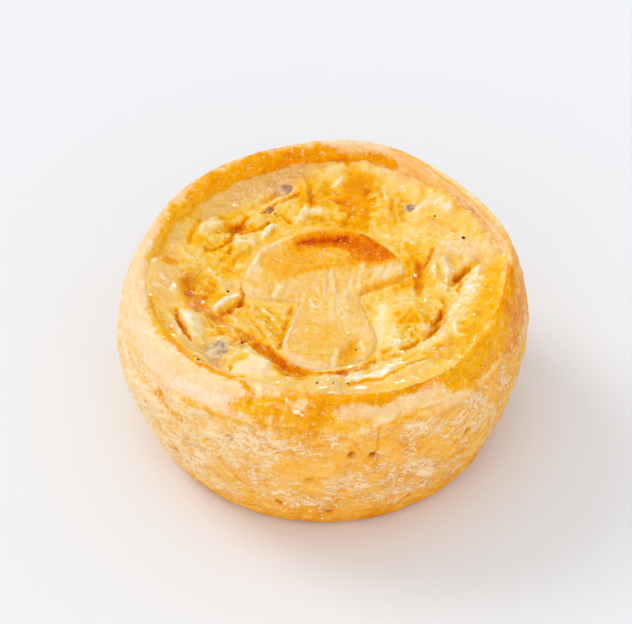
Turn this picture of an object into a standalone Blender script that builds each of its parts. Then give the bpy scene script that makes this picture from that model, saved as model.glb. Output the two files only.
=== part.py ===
# A small deep mushroom quiche: a puffed pastry case, a lumpy baked custard in it, a pastry
# mushroom laid on the custard, and the pieces of mushroom that show in the custard's top.
# The quiche stands on z = 0 with its axis on Z. -Y is its front, +X its right side.
# Sizes are in millimetres and are turned into metres where a mesh is made.

import math

import bmesh
import bpy
import numpy as np

MM = 0.001

# The pastry case
BASE_RADIUS = 44.0
CREST_HEIGHT = 50.0
FLOOR_THICKNESS = 4.5
STEPS_ROUND = 104
GAP = 0.3

# Each row is (how far out from the base's radius, height). The outside runs up from the table to
# the crest of the rim, and the inside runs from the crest down to the top of the floor. The neck
# is the narrowest place under the crest.
OUTSIDE_PROFILE = [
    (-2.2, 0.0), (-0.7, 0.8), (0.0, 2.5), (1.6, 5.0), (2.9, 9.0), (4.3, 13.0), (5.6, 17.0),
    (6.6, 21.0), (7.4, 25.0), (7.9, 29.0), (7.9, 32.5), (7.5, 36.0), (6.8, 39.5), (5.9, 43.0),
    (5.0, 46.0), (3.9, 48.4), (2.9, 49.7),
]
NECK = (-0.4, 46.0)
INSIDE_PROFILE = [
    (1.9, CREST_HEIGHT), (0.9, 49.4), (0.2, 48.0), NECK, (0.2, 38.0), (1.9, 31.0), (-0.4, 16.0),
    (-4.0, FLOOR_THICKNESS),
]

# Waves that make the hand-lined case uneven: (waves round, size, direction of one crest in degrees)
OUTLINE_WAVES = [(1, 0.45, 180), (2, 0.5, 18), (3, 0.35, 90), (4, 0.3, 20), (6, 0.25, 72)]
RISE_WAVES = [(1, 1.5, 85), (2, 0.45, 75), (4, 0.45, 75), (6, 0.25, 75)]
INSIDE_WAVES = [(1, 1.2, 0), (3, 0.4, 60), (5, 0.25, 10)]
RISE_STARTS = 20.0
CRAG_SIZE = 0.6
CRAG_CELL = 5.5

# Holes that the baker pricked in the wall: (direction in degrees, height)
PRICK_RADIUS = 0.95
PRICK_DEPTH = 1.4
PRICKS = [
    (212, 30), (221, 17), (233, 26), (243, 35), (256, 12), (265, 24), (271, 8), (277, 33.5),
    (283, 33), (296, 10), (303, 21), (313, 29), (327, 18), (342, 27), (355, 14), (12, 25),
    (35, 15), (58, 30), (84, 20), (107, 32), (131, 14), (152, 26), (176, 19), (194, 31),
]

# The custard's top is a shallow dish, higher at the front than at the back
DISH_HEIGHT = 41.3
EDGE_HEIGHT = 45.6
EDGE_TILT = 1.3
DISH_POWER = 2.4
EDGE_DROP = 1.6
EDGE_LIMIT = 47.5
CUSTARD_RINGS = 15

# Swellings and folds of the custard: (x, y, half length, half width, turn in degrees, height)
LUMPS = [
    (-29, 20, 5.0, 3.6, 20, 1.7),
    (-22, 14.5, 5.0, 3.0, 32, 1.2),
    (-17, 25.5, 5.5, 2.8, 20, 1.5),
    (-12, 31, 4.5, 2.4, 12, 1.2),
    (-35, 11, 3.6, 4.0, 60, 0.9),
    (-24, 21.5, 6.0, 1.3, 35, -1.8),
    (-13, 34, 6.0, 1.3, 38, -1.3),
    (-5, 37, 2.6, 5.0, 85, 1.2),
    (-6, 28, 5.5, 2.6, 8, 1.5),
    (4, 28.5, 5.5, 2.6, -4, 1.3),
    (8, 34, 5.0, 4.0, 0, -0.5),
    (16, 29, 4.6, 4.2, 0, 1.0),
    (3, 41, 4.0, 2.5, 0, 1.1),
    (12, 41.5, 4.2, 2.2, -8, 1.0),
    (32, 28.5, 5.5, 4.0, -40, 1.3),
    (38, 20, 5.0, 3.0, -50, 1.0),
    (33, 13, 5.0, 4.0, 0, 1.3),
    (24, 19, 4.0, 3.0, -20, 0.8),
    (28.5, 3, 7.0, 3.3, 88, 2.7),
    (36, 5, 6.0, 1.4, 45, -1.8),
    (39, -5, 7.0, 4.6, 60, 1.9),
    (20, -12, 5.6, 6.4, 0, 2.6),
    (16, -21, 5.0, 4.0, 75, 1.7),
    (28, -15, 6.0, 1.4, 65, -2.2),
    (32, -19, 10.0, 3.4, 45, 1.9),
    (20, -32.5, 12.0, 2.6, 24, 1.2),
    (-17, -31, 8.0, 4.6, -28, 1.6),
    (-12, -27, 9.0, 1.7, -42, -2.2),
    (-2, -34, 8.0, 1.3, 0, -0.9),
    (-33, -14, 4.2, 4.4, 80, 1.6),
    (-36.5, -15, 5.0, 0.9, -65, -1.3),
    (-40, 1, 6.0, 4.2, 90, 1.2),
    (-31.5, -1, 5.5, 4.0, 85, -1.4),
    (-17, -13, 4.0, 5.0, 30, 0.7),
]
RIPPLE_SIZE = 0.5
RIPPLE_CELL = 5.0

# The pastry mushroom: a cap on a stem that flares to its foot
MUSHROOM_MIDDLE = (0.8, 3.0)
MUSHROOM_THICKNESS = 2.8
MUSHROOM_BED = 39.7
CAP_HALF_WIDTH = 21.2
CAP_TOP = 19.6
CAP_UNDERSIDE = 4.9
CAP_TURN = 9.0
STEM_HALF_WIDTH = 7.4
FOOT_HALF_WIDTH = 12.0
FOOT_Y = -30.2
OUTLINE_STEPS = 104
MUSHROOM_RINGS = [0.2, 0.4, 0.58, 0.74, 0.87, 0.96]
BED_CLEARANCE = 0.4
BED_SLOPE = 0.35

# Pieces of mushroom in the custard: name, x, y, underside, half length, half width, turn, thickness
CHANTERELLES = [
    ("chanterelle_left", -25.0, -4.0, 39.6, 5.2, 2.3, 50, 2.2),
    ("chanterelle_front_left", -26.6, -24.9, 41.6, 4.3, 3.7, 70, 2.6),
    ("chanterelle_back_left", -10.4, 36.5, 41.6, 3.6, 1.9, -12, 2.4),
    ("chanterelle_back_inner", -15.0, 28.6, 40.6, 2.2, 1.7, 20, 2.6),
    ("chanterelle_back_right", 22.2, 28.8, 41.6, 2.9, 2.1, 10, 2.4),
]
PIECE_STEPS = 12
PIECE_MARGIN = 1.5
PIT_SLOPE = 2.2

CRUST_COLOUR = (0.83, 0.50, 0.17)
CUSTARD_COLOUR = (0.93, 0.60, 0.16)
DOUGH_COLOUR = (0.92, 0.62, 0.24)
CHANTERELLE_COLOUR = (0.36, 0.25, 0.18)


def waves_at(theta, waves):
    """Sum of the waves round the case in the direction theta."""
    return sum(size * np.cos(n * (theta - math.radians(at))) for n, size, at in waves)


def corner_value(ix, iy, iz, seed):
    """A repeatable number from -1 to 1 for each corner of a cubic lattice."""
    mixed = (ix * 374761393 + iy * 668265263 + iz * 1274126177 + seed * 144269504) & 0x7FFFFFFF
    mixed = ((mixed ^ (mixed >> 13)) * 1103515245) & 0x7FFFFFFF
    return ((mixed ^ (mixed >> 15)) & 0xFFFF) / 32767.5 - 1.0


def noise(x, y, z, cell, seed):
    """Smooth random relief from -1 to 1, whose bumps are about one cell across."""
    at = [np.asarray(v, float) / cell for v in (x, y, z)]
    low = [np.floor(v).astype(np.int64) for v in at]
    part = [v - k for v, k in zip(at, low)]
    part = [p * p * (3 - 2 * p) for p in part]
    total = 0.0
    for corner in range(8):
        bits = [(corner >> k) & 1 for k in range(3)]
        share = 1.0
        for p, bit in zip(part, bits):
            share = share * (p if bit else 1 - p)
        total = total + share * corner_value(*[k + bit for k, bit in zip(low, bits)], seed)
    return total


def bump(x, y, centre_x, centre_y, half_length, half_width, turn):
    """1 in the middle of a flat-topped oval swelling, falling to 0 outside it."""
    c, s = math.cos(math.radians(turn)), math.sin(math.radians(turn))
    along = ((x - centre_x) * c + (y - centre_y) * s) / half_length
    across = ((y - centre_y) * c - (x - centre_x) * s) / half_width
    return np.exp(-((along**2 + across**2) ** 1.5))


def case_point(theta, out, height, inside):
    """The place of a point of the case's profile in the direction theta."""
    radius = BASE_RADIUS + out + waves_at(theta, OUTLINE_WAVES) * min(1.0, 0.3 + height / 38)
    if inside:
        radius = radius + waves_at(theta, INSIDE_WAVES)
    rise = waves_at(theta, RISE_WAVES) * min(1.0, max(0.0, (height - RISE_STARTS) / 30))
    return radius, height + rise


def inner_radius(theta, height):
    """Radius of the case's inside wall at a true height, in the direction theta."""
    rows = [case_point(theta, out, level, True) for out, level in reversed(INSIDE_PROFILE)]
    levels, radii = [row[1] for row in rows], [row[0] for row in rows]
    return float(np.interp(height, levels, radii))


def cap_edge(angle):
    """A point of the cap's outline, at an angle in the cap's own turned frame."""
    tall = CAP_TOP if math.sin(angle) > 0 else CAP_UNDERSIDE
    x = CAP_HALF_WIDTH * math.copysign(abs(math.cos(angle)) ** 0.9, math.cos(angle))
    y = tall * math.copysign(abs(math.sin(angle)) ** 0.95, math.sin(angle)) + 1.0
    turn = math.radians(CAP_TURN)
    return x * math.cos(turn) - y * math.sin(turn), x * math.sin(turn) + y * math.cos(turn)


def mushroom_outline(steps):
    """The outline of the pastry mushroom, anticlockwise, as evenly spread points."""
    right_joint, left_joint = math.radians(-68), math.radians(248)
    cap = [cap_edge(a) for a in np.linspace(right_joint, left_joint, 60)]
    foot = []
    for share in np.linspace(0, 1, 12)[1:]:
        flare = STEM_HALF_WIDTH + (FOOT_HALF_WIDTH - STEM_HALF_WIDTH) * share**1.2
        foot.append((flare, -3.4 - 16.5 * share))
    for angle in np.linspace(0, math.pi / 2, 8)[1:]:
        x = FOOT_HALF_WIDTH * math.cos(angle) ** 0.8
        foot.append((x, -19.9 + (FOOT_Y + 19.9) * math.sin(angle)))
    left = [(1.0 - x, y - 1.7) for x, y in foot[:-1]]
    right = [(1.0 + x, y) for x, y in reversed(foot)]
    points = np.array(cap + left + right)
    closed = np.vstack([points, points[:1]])
    run = np.concatenate([[0], np.cumsum(np.linalg.norm(np.diff(closed, axis=0), axis=1))])
    at = np.linspace(0, run[-1], steps, endpoint=False)
    points = np.stack([np.interp(at, run, closed[:, k]) for k in (0, 1)], axis=1)
    # Averaging rounds off the corners where the stem leaves the cap
    for _ in range(4):
        points = (np.roll(points, 1, 0) + 2 * points + np.roll(points, -1, 0)) / 4
    return points


MUSHROOM_OUTLINE = mushroom_outline(OUTLINE_STEPS)


def outline_spread(outline, distance):
    """The outline moved outwards by a distance."""
    along = np.roll(outline, -1, 0) - np.roll(outline, 1, 0)
    along = along / np.linalg.norm(along, axis=1, keepdims=True)
    return outline + distance * np.stack([along[:, 1], -along[:, 0]], axis=1)


def bed_height(x, y):
    """Underside of the pastry mushroom, which sags a little in its middle."""
    sag = 0.0016 * (np.asarray(x) ** 2 + np.asarray(y) ** 2)
    return MUSHROOM_BED + sag


def custard_height(x, y):
    """Height of the custard's top, which dips under each piece of mushroom that lies in it."""
    x, y = np.asarray(x, float), np.asarray(y, float)
    radius, theta = np.hypot(x, y), np.arctan2(y, x)
    front = EDGE_TILT * np.cos(theta + math.pi / 2)
    share = np.clip(radius / BASE_RADIUS, 0, 1.1)
    height = DISH_HEIGHT + (EDGE_HEIGHT + front - DISH_HEIGHT) * share**DISH_POWER
    for cx, cy, half_length, half_width, turn, tall in LUMPS:
        height = height + tall * bump(x, y, cx, cy, half_length, half_width, turn)
    height = height + RIPPLE_SIZE * noise(x, y, 0 * x, RIPPLE_CELL, 3)
    for _, cx, cy, low, half_length, half_width, turn, _ in CHANTERELLES:
        c, s = math.cos(math.radians(turn)), math.sin(math.radians(turn))
        along = ((x - cx) * c + (y - cy) * s) / (half_length + PIECE_MARGIN)
        across = ((y - cy) * c - (x - cx) * s) / (half_width + PIECE_MARGIN)
        beyond = (np.hypot(along, across) - 1) * (half_width + PIECE_MARGIN)
        pit = low - GAP + np.maximum(0, beyond) * PIT_SLOPE
        height = np.minimum(height, pit)
    return height


def material(name, colour, roughness):
    made = bpy.data.materials.new(name)
    made.use_nodes = True
    shader = made.node_tree.nodes["Principled BSDF"]
    shader.inputs["Base Color"].default_value = (*colour, 1.0)
    shader.inputs["Roughness"].default_value = roughness
    shader.inputs["Metallic"].default_value = 0.0
    return made


def solid(name, points, faces, finish):
    """A closed mesh object from points in millimetres, with its faces turned outwards."""
    mesh = bpy.data.meshes.new(name)
    mesh.from_pydata([tuple(float(v) * MM for v in p) for p in points], [], faces)
    work = bmesh.new()
    work.from_mesh(mesh)
    bmesh.ops.recalc_face_normals(work, faces=work.faces)
    work.to_mesh(mesh)
    work.free()
    mesh.shade_smooth()
    mesh.set_sharp_from_angle(angle=math.radians(50))
    mesh.materials.append(finish)
    made = bpy.data.objects.new(name, mesh)
    bpy.context.scene.collection.objects.link(made)
    return made


def ring_faces(rows, steps):
    """Triangles between rings of points, then a fan to a middle point at each end."""
    faces = []
    for row in range(rows - 1):
        for i in range(steps):
            j = (i + 1) % steps
            a, b = row * steps + i, row * steps + j
            c, d = a + steps, b + steps
            faces += [(a, b, d), (a, d, c)]
    first, last = rows * steps, rows * steps + 1
    top = (rows - 1) * steps
    for i in range(steps):
        j = (i + 1) % steps
        faces += [(first, j, i), (last, top + i, top + j)]
    return faces


def make_case(finish):
    """The pastry case, a cup whose outside is craggy and pricked."""
    thetas = np.linspace(0, math.tau, STEPS_ROUND, endpoint=False)
    points = []
    rows = [(out, level, False) for out, level in OUTSIDE_PROFILE]
    rows += [(out, level, True) for out, level in INSIDE_PROFILE]
    for out, level, inside in rows:
        for theta in thetas:
            radius, height = case_point(theta, out, level, inside)
            x, y = radius * math.cos(theta), radius * math.sin(theta)
            if not inside and level > 1:
                crag = CRAG_SIZE * float(noise(x, y, height * 1.6, CRAG_CELL, 11))
                x, y = x * (1 + crag / radius), y * (1 + crag / radius)
            points.append((x, y, height))
    points += [(0, 0, 0), (0, 0, FLOOR_THICKNESS)]
    case = solid("pastry_case", points, ring_faces(len(rows), STEPS_ROUND), finish)
    prick(case)
    return case


def prick(case):
    """Cuts the pricked holes out of the case's wall."""
    cutters = bpy.data.collections.new("prick_cutters")
    bpy.context.scene.collection.children.link(cutters)
    for number, (direction, level) in enumerate(PRICKS):
        theta = math.radians(direction)
        out = np.interp(level, [p[1] for p in OUTSIDE_PROFILE], [p[0] for p in OUTSIDE_PROFILE])
        radius, height = case_point(theta, float(out), level, False)
        work = bmesh.new()
        bmesh.ops.create_cone(
            work, cap_ends=True, segments=6, radius1=PRICK_RADIUS * MM,
            radius2=PRICK_RADIUS * 1.5 * MM, depth=2 * PRICK_DEPTH * MM,
        )
        mesh = bpy.data.meshes.new(f"prick_{number}")
        work.to_mesh(mesh)
        work.free()
        cutter = bpy.data.objects.new(f"prick_{number}", mesh)
        place = (radius * math.cos(theta), radius * math.sin(theta), height)
        cutter.location = [v * MM for v in place]
        cutter.rotation_euler = (0, math.pi / 2, theta)
        cutters.objects.link(cutter)
    cut = case.modifiers.new("pricks", "BOOLEAN")
    cut.operation = "DIFFERENCE"
    cut.operand_type = "COLLECTION"
    cut.collection = cutters
    cut.solver = "MANIFOLD"
    bpy.context.view_layer.update()
    evaluated = case.evaluated_get(bpy.context.evaluated_depsgraph_get())
    finished = bpy.data.meshes.new_from_object(evaluated)
    case.modifiers.clear()
    case.data = finished
    for cutter in list(cutters.objects):
        bpy.data.objects.remove(cutter)
    bpy.data.collections.remove(cutters)


def wall_direction(point):
    """The direction in which a spoke from the pastry mushroom's middle meets the case's wall."""
    middle = np.array(MUSHROOM_MIDDLE)
    spoke = (point - middle) / np.linalg.norm(point - middle)
    reach = BASE_RADIUS
    for _ in range(8):
        x, y = middle + spoke * reach
        reach += inner_radius(math.atan2(y, x), EDGE_HEIGHT) - math.hypot(x, y)
    return math.atan2(y, x)


def make_custard(finish):
    """The custard, from the mushroom's bed in its lumpy top down to the case's floor."""
    middle = np.array(MUSHROOM_MIDDLE)
    bed = outline_spread(MUSHROOM_OUTLINE, BED_CLEARANCE)
    brink = outline_spread(MUSHROOM_OUTLINE, BED_CLEARANCE + BED_SLOPE)
    thetas = [wall_direction(point) for point in MUSHROOM_OUTLINE]
    points = []
    for x, y in np.vstack([middle + (bed - middle) * 0.5, bed]):
        points.append((x, y, float(bed_height(x, y)) - GAP))
    radii = np.array([inner_radius(theta, EDGE_HEIGHT) - GAP for theta in thetas])
    wall = np.stack([radii * np.cos(thetas), radii * np.sin(thetas)], axis=1)
    for share in np.linspace(0, 1, CUSTARD_RINGS, endpoint=False):
        x, y = (brink + (wall - brink) * share).T
        points += list(zip(x, y, custard_height(x, y)))
    edge_heights = np.minimum(custard_height(wall[:, 0], wall[:, 1]), EDGE_LIMIT)
    necks = [case_point(theta, *NECK, True)[1] for theta in thetas]
    # The second row stays under the neck, so that no facet spans the narrowest place
    for heights in (edge_heights, np.minimum(edge_heights - EDGE_DROP, necks)):
        for theta, height in zip(thetas, heights):
            radius = inner_radius(theta, height) - GAP
            points.append((radius * math.cos(theta), radius * math.sin(theta), height))
    wall_rows = [row for row in INSIDE_PROFILE if row[1] < 40]
    for out, level in wall_rows:
        lift = GAP if level == FLOOR_THICKNESS else 0
        for theta in thetas:
            radius, height = case_point(theta, out, level, True)
            radius = radius - GAP
            points.append((radius * math.cos(theta), radius * math.sin(theta), height + lift))
    points.append((*middle, float(bed_height(*middle)) - GAP))
    points.append((0, 0, FLOOR_THICKNESS + GAP))
    rows = 2 + CUSTARD_RINGS + 2 + len(wall_rows)
    return solid("custard", points, ring_faces(rows, OUTLINE_STEPS), finish)


def mushroom_top(x, y):
    """How far the pastry mushroom's top stands over an even sheet: its folds and raised edge."""
    lift = 1.1 * bump(x, y, 2, 21.5, 17, 2.6, -4)
    lift = lift - 1.0 * bump(x, y, 4, 16.6, 10, 1.8, -8)
    lift = lift + 0.5 * bump(x, y, -6, 6, 9, 6, 10)
    lift = lift + 0.4 * bump(x, y, 1, -17, 6, 9, 0)
    lift = lift - 0.9 * bump(x, y, 7.5, -24.5, 4.6, 2.8, 55)
    return lift


def make_mushroom(finish):
    """The pastry mushroom, a sheet with a rounded edge that lies in its bed in the custard."""
    outline = MUSHROOM_OUTLINE
    middle = np.array(MUSHROOM_MIDDLE)
    points = []
    for share in MUSHROOM_RINGS:
        for x, y in middle + (outline - middle) * share:
            soft = 0.35 if share > 0.95 else 0.0
            top = bed_height(x, y) + MUSHROOM_THICKNESS - soft + mushroom_top(x, y)
            points.append((x, y, float(top)))
    for drop in (1.1, 2.4):
        for x, y in outline:
            top = bed_height(x, y) + MUSHROOM_THICKNESS + max(0.0, mushroom_top(x, y))
            points.append((x, y, float(max(top - drop, bed_height(x, y) + 0.3))))
    for share in (0.97, 0.5):
        for x, y in middle + (outline - middle) * share:
            points.append((x, y, float(bed_height(x, y))))
    x, y = middle
    points += [(x, y, float(bed_height(x, y) + MUSHROOM_THICKNESS + mushroom_top(x, y)))]
    points += [(x, y, float(bed_height(x, y)))]
    rows = len(MUSHROOM_RINGS) + 4
    return solid("pastry_mushroom", points, ring_faces(rows, OUTLINE_STEPS), finish)


def make_chanterelle(name, cx, cy, low, half_length, half_width, turn, tall, finish):
    """A torn piece of mushroom: an uneven slab with a crowned top."""
    c, s = math.cos(math.radians(turn)), math.sin(math.radians(turn))
    angles = np.linspace(0, math.tau, PIECE_STEPS, endpoint=False)
    points = []
    for share, level in ((0.45, 1.0), (0.8, 0.86), (1.0, 0.5), (0.85, 0.0)):
        for angle in angles:
            torn = 1 - 0.12 * (1 + math.sin(3 * angle + cx))
            u = half_length * share * torn * math.cos(angle)
            v = half_width * share * torn * math.sin(angle)
            x, y = cx + u * c - v * s, cy + u * s + v * c
            ridge = 0.3 * float(noise(x, y, 0, 2.0, 7)) if level > 0.5 else 0.0
            points.append((x, y, low + tall * level + ridge))
    points += [(cx, cy, low + tall), (cx, cy, low)]
    return solid(name, points, ring_faces(4, PIECE_STEPS), finish)


def main():
    for old in list(bpy.data.objects):
        bpy.data.objects.remove(old)
    make_case(material("baked_pastry", CRUST_COLOUR, 0.6))
    make_custard(material("custard", CUSTARD_COLOUR, 0.35))
    make_mushroom(material("glazed_pastry", DOUGH_COLOUR, 0.35))
    chanterelle = material("chanterelle", CHANTERELLE_COLOUR, 0.4)
    for row in CHANTERELLES:
        make_chanterelle(*row, chanterelle)


main()
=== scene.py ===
import math

import bpy
import numpy as np
from mathutils.bvhtree import BVHTree
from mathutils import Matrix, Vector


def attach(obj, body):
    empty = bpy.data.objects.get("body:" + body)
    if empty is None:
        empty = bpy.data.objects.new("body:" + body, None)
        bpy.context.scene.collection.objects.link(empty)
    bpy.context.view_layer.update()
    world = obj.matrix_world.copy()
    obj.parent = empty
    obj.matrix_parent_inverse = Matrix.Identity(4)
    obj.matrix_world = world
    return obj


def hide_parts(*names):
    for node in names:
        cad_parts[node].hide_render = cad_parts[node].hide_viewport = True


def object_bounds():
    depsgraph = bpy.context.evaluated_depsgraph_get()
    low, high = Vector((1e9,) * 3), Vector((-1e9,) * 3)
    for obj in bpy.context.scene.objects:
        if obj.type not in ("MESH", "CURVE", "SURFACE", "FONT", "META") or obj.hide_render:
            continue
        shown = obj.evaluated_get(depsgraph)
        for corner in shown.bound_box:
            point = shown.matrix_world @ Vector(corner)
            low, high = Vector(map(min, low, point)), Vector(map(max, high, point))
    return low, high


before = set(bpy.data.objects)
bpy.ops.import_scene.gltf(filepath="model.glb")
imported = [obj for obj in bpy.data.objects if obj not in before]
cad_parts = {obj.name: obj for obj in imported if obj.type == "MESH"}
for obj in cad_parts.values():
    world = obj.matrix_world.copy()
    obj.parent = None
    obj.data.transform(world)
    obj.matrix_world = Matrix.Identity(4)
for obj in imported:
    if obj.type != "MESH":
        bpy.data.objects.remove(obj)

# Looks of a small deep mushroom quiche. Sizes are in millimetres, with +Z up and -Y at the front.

mm = 0.001
cadBox = [list(corner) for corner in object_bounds()]
print("quiche: frame loaded")


# Noise and simple shape helpers

noiseOrder = np.random.default_rng(5).permutation(256)
noiseLean = np.random.default_rng(6).normal(size=(256, 3))
noiseLean /= np.linalg.norm(noiseLean, axis=1, keepdims=True)
noiseShift = np.random.default_rng(7).uniform(10, 90, size=(64, 3))


def cornerKey(corner):
    wrapped = corner & 255
    first = noiseOrder[wrapped[..., 0]]
    second = noiseOrder[(first + wrapped[..., 1]) & 255]
    return noiseOrder[(second + wrapped[..., 2]) & 255]


def softNoise(x, y, z, cell, seed):
    # smooth noise, about -1 to 1, with bumps one cell across
    at = np.stack(np.broadcast_arrays(x, y, z), -1) / cell + noiseShift[seed]
    low = np.floor(at).astype(int)
    part = at - low
    fade = part**3 * (part * (part * 6 - 15) + 10)
    total = 0.0
    for number in range(8):
        bits = np.array([(number >> k) & 1 for k in range(3)])
        share = np.prod(np.where(bits == 1, fade, 1 - fade), -1)
        total = total + share * np.sum(noiseLean[cornerKey(low + bits)] * (part - bits), -1)
    return total * 1.7


def layeredNoise(x, y, z, cell, layers, seed):
    total, size = 0.0, 1.0
    for layer in range(layers):
        total = total + size * softNoise(x, y, z, cell / 2**layer, seed + layer)
        size = size * 0.55
    return total


def smoothStep(low, high, value):
    share = np.clip((value - low) / (high - low), 0, 1)
    return share * share * (3 - 2 * share)


def bump(x, y, centreX, centreY, halfLength, halfWidth, turn):
    # 1 in the middle of a flat-topped oval, falling to 0 outside it
    c, s = math.cos(math.radians(turn)), math.sin(math.radians(turn))
    along = ((x - centreX) * c + (y - centreY) * s) / halfLength
    across = ((y - centreY) * c - (x - centreX) * s) / halfWidth
    return np.exp(-((along**2 + across**2) ** 1.5))


def lineDistance(x, y, route):
    # distance to a route made of straight runs
    best = np.full(np.shape(x), 1e9)
    for (ax, ay), (bx, by) in zip(route, route[1:]):
        dx, dy = bx - ax, by - ay
        share = np.clip(((x - ax) * dx + (y - ay) * dy) / (dx * dx + dy * dy), 0, 1)
        best = np.minimum(best, np.hypot(x - ax - share * dx, y - ay - share * dy))
    return best


def nearRoute(x, y, route, reach):
    # the points that lie close enough to a route to be touched by it
    (left, top), (right, bottom) = route.min(0) - reach, route.max(0) + reach
    return (x > left) & (x < right) & (y > top) & (y < bottom)


def brushPaint(field, across, down, marks, start=0.4, end=1.5):
    # each mark moves the field towards its target: target, strength, half width, then its route
    for target, strength, width, *places in marks:
        route = np.reshape(places, (-1, 2))
        near = nearRoute(across, down, route, end * width)
        distance = lineDistance(across[near], down[near], route) / width
        field[near] += (target - field[near]) * strength * (1 - smoothStep(start, end, distance))


def pressRoutes(height, across, down, marks):
    # each mark raises or lowers a rounded ridge: height, half width, then its route
    for tall, width, *places in marks:
        route = np.reshape(places, (-1, 2))
        near = nearRoute(across, down, route, 2.6 * width)
        distance = lineDistance(across[near], down[near], route) / width
        height[near] += tall * np.exp(-distance**2)


def angleGap(theta, middle):
    # degrees from a direction, -180 to 180
    return (np.degrees(theta) - middle + 180) % 360 - 180


def arcMask(theta, start, end, soft):
    # 1 between two directions in degrees, with soft ends
    half = (end - start) / 2
    return 1 - smoothStep(half - soft, half + soft, np.abs(angleGap(theta, start + half)))


def gridNormals(rows):
    along = np.roll(rows, -1, 1) - np.roll(rows, 1, 1)
    down = np.gradient(rows, axis=0)
    normals = np.cross(along, down)
    return normals / np.maximum(np.linalg.norm(normals, axis=-1, keepdims=True), 1e-9)


def keepInBox(rows):
    # nothing stands out of the solids' box
    low = np.array(cadBox[0]) / mm + 0.02
    high = np.array(cadBox[1]) / mm - 0.02
    return np.clip(rows, low, high)


def ringPiece(name, rows, masks, finish, nodes):
    # a closed mesh from rings of points, with a middle point at each end, and its painted masks
    count, steps = rows.shape[:2]
    points = np.vstack([rows.reshape(-1, 3), rows[0].mean(0), rows[-1].mean(0)])
    index = np.arange(count * steps).reshape(count, steps)
    after = np.roll(index, -1, 1)
    quads = np.stack([index[:-1], after[:-1], after[1:], index[1:]], -1).reshape(-1, 4)
    firstCap = np.stack([after[0], index[0], np.full(steps, count * steps)], -1)
    lastCap = np.stack([index[-1], after[-1], np.full(steps, count * steps + 1)], -1)
    mesh = bpy.data.meshes.new(name)
    faces = quads.tolist() + firstCap.tolist() + lastCap.tolist()
    mesh.from_pydata((points * mm).tolist(), [], faces)
    mesh.shade_smooth()
    for maskName, values in masks.items():
        parts = values.reshape(count * steps, -1)
        parts = np.vstack([parts, parts[:steps].mean(0), parts[-steps:].mean(0)]).astype(np.float32)
        kind, field = ("FLOAT", "value") if parts.shape[1] == 1 else ("FLOAT_VECTOR", "vector")
        mesh.attributes.new(maskName, kind, "POINT").data.foreach_set(field, parts.ravel())
    mesh.materials.append(finish)
    piece = bpy.data.objects.new(name, mesh)
    bpy.context.scene.collection.objects.link(piece)
    dress(piece, nodes)
    print(f"quiche: {name} made with {len(faces)} faces")
    return piece


def dress(piece, nodes):
    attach(piece, "root")
    for node in nodes:
        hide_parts(node)


# Camera

cameraLook = {
    "elevation": 43.3,
    "distance": 700.0,
    "target": (-2.4, 0.0, 33.4),
    "focalLength": 156.0,
    "sensorWidth": 36.0,
    "nearest": 10.0,
    "farthest": 20000.0,
}


def makeCamera(look):
    camera = bpy.data.cameras.new("photoCamera")
    camera.lens = look["focalLength"]
    camera.sensor_width = look["sensorWidth"]
    camera.clip_start = look["nearest"] * mm
    camera.clip_end = look["farthest"] * mm
    body = bpy.data.objects.new("photoCamera", camera)
    tilt = math.radians(look["elevation"])
    back, up = look["distance"] * math.cos(tilt), look["distance"] * math.sin(tilt)
    targetX, targetY, targetZ = look["target"]
    body.location = (targetX * mm, (targetY - back) * mm, (targetZ + up) * mm)
    body.rotation_euler = (math.radians(90) - tilt, 0, 0)
    bpy.context.scene.collection.objects.link(body)
    bpy.context.scene.camera = body


makeCamera(cameraLook)
frameSize = (632, 624)


def framePlace(x, y, z, look=cameraLook):
    # where points of the quiche land in the picture, in its pixels, and the way to the camera
    tilt = math.radians(look["elevation"])
    back, up = np.array([0, -math.cos(tilt), math.sin(tilt)]), np.array([0, math.sin(tilt), math.cos(tilt)])
    offset = np.stack(np.broadcast_arrays(x, y, z), -1) - np.array(look["target"])
    depth = look["distance"] - offset @ back
    pixels = frameSize[0] * look["focalLength"] / look["sensorWidth"] / depth
    return frameSize[0] / 2 + pixels * offset[..., 0], frameSize[1] / 2 - pixels * (offset @ up), back


def looseFrame(x, y, z, seed, wander=1.5):
    # the same, moved about a little, so that painted edges come out ragged
    across, down, _ = framePlace(x, y, z)
    across = across + wander * layeredNoise(x, y, z, 2.6, 3, seed)
    down = down + wander * layeredNoise(x, y, z, 2.6, 3, seed + 4)
    return across, down


# Colours, as they look in even light

def fromScreen(red, green, blue):
    channels = np.array([red, green, blue]) / 255
    return tuple(np.where(channels <= 0.04045, channels / 12.92, ((channels + 0.055) / 1.055) ** 2.4))


def startMaterial(name):
    material = bpy.data.materials.new(name)
    material.use_nodes = True
    tree = material.node_tree
    return material, tree, tree.nodes["Principled BSDF"]


def mathNode(tree, operation, first, second=0.0, third=0.0):
    node = tree.nodes.new("ShaderNodeMath")
    node.operation = operation
    for socket, value in zip(node.inputs, (first, second, third)):
        if isinstance(value, (int, float)):
            socket.default_value = value
        else:
            tree.links.new(value, socket)
    return node.outputs[0]


def maskNode(tree, name):
    node = tree.nodes.new("ShaderNodeAttribute")
    node.attribute_name = name
    return node.outputs["Fac"]


def placeNode(tree):
    return tree.nodes.new("ShaderNodeTexCoord").outputs["Object"]


def noiseNode(tree, place, size, detail=3.0, roughness=0.55, distortion=0.0):
    # noise from 0 to 1 whose bumps are about size millimetres across
    node = tree.nodes.new("ShaderNodeTexNoise")
    node.inputs["Scale"].default_value = 1 / (size * mm)
    node.inputs["Detail"].default_value = detail
    node.inputs["Roughness"].default_value = roughness
    node.inputs["Distortion"].default_value = distortion
    tree.links.new(place, node.inputs["Vector"])
    return node.outputs["Fac"]


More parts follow.
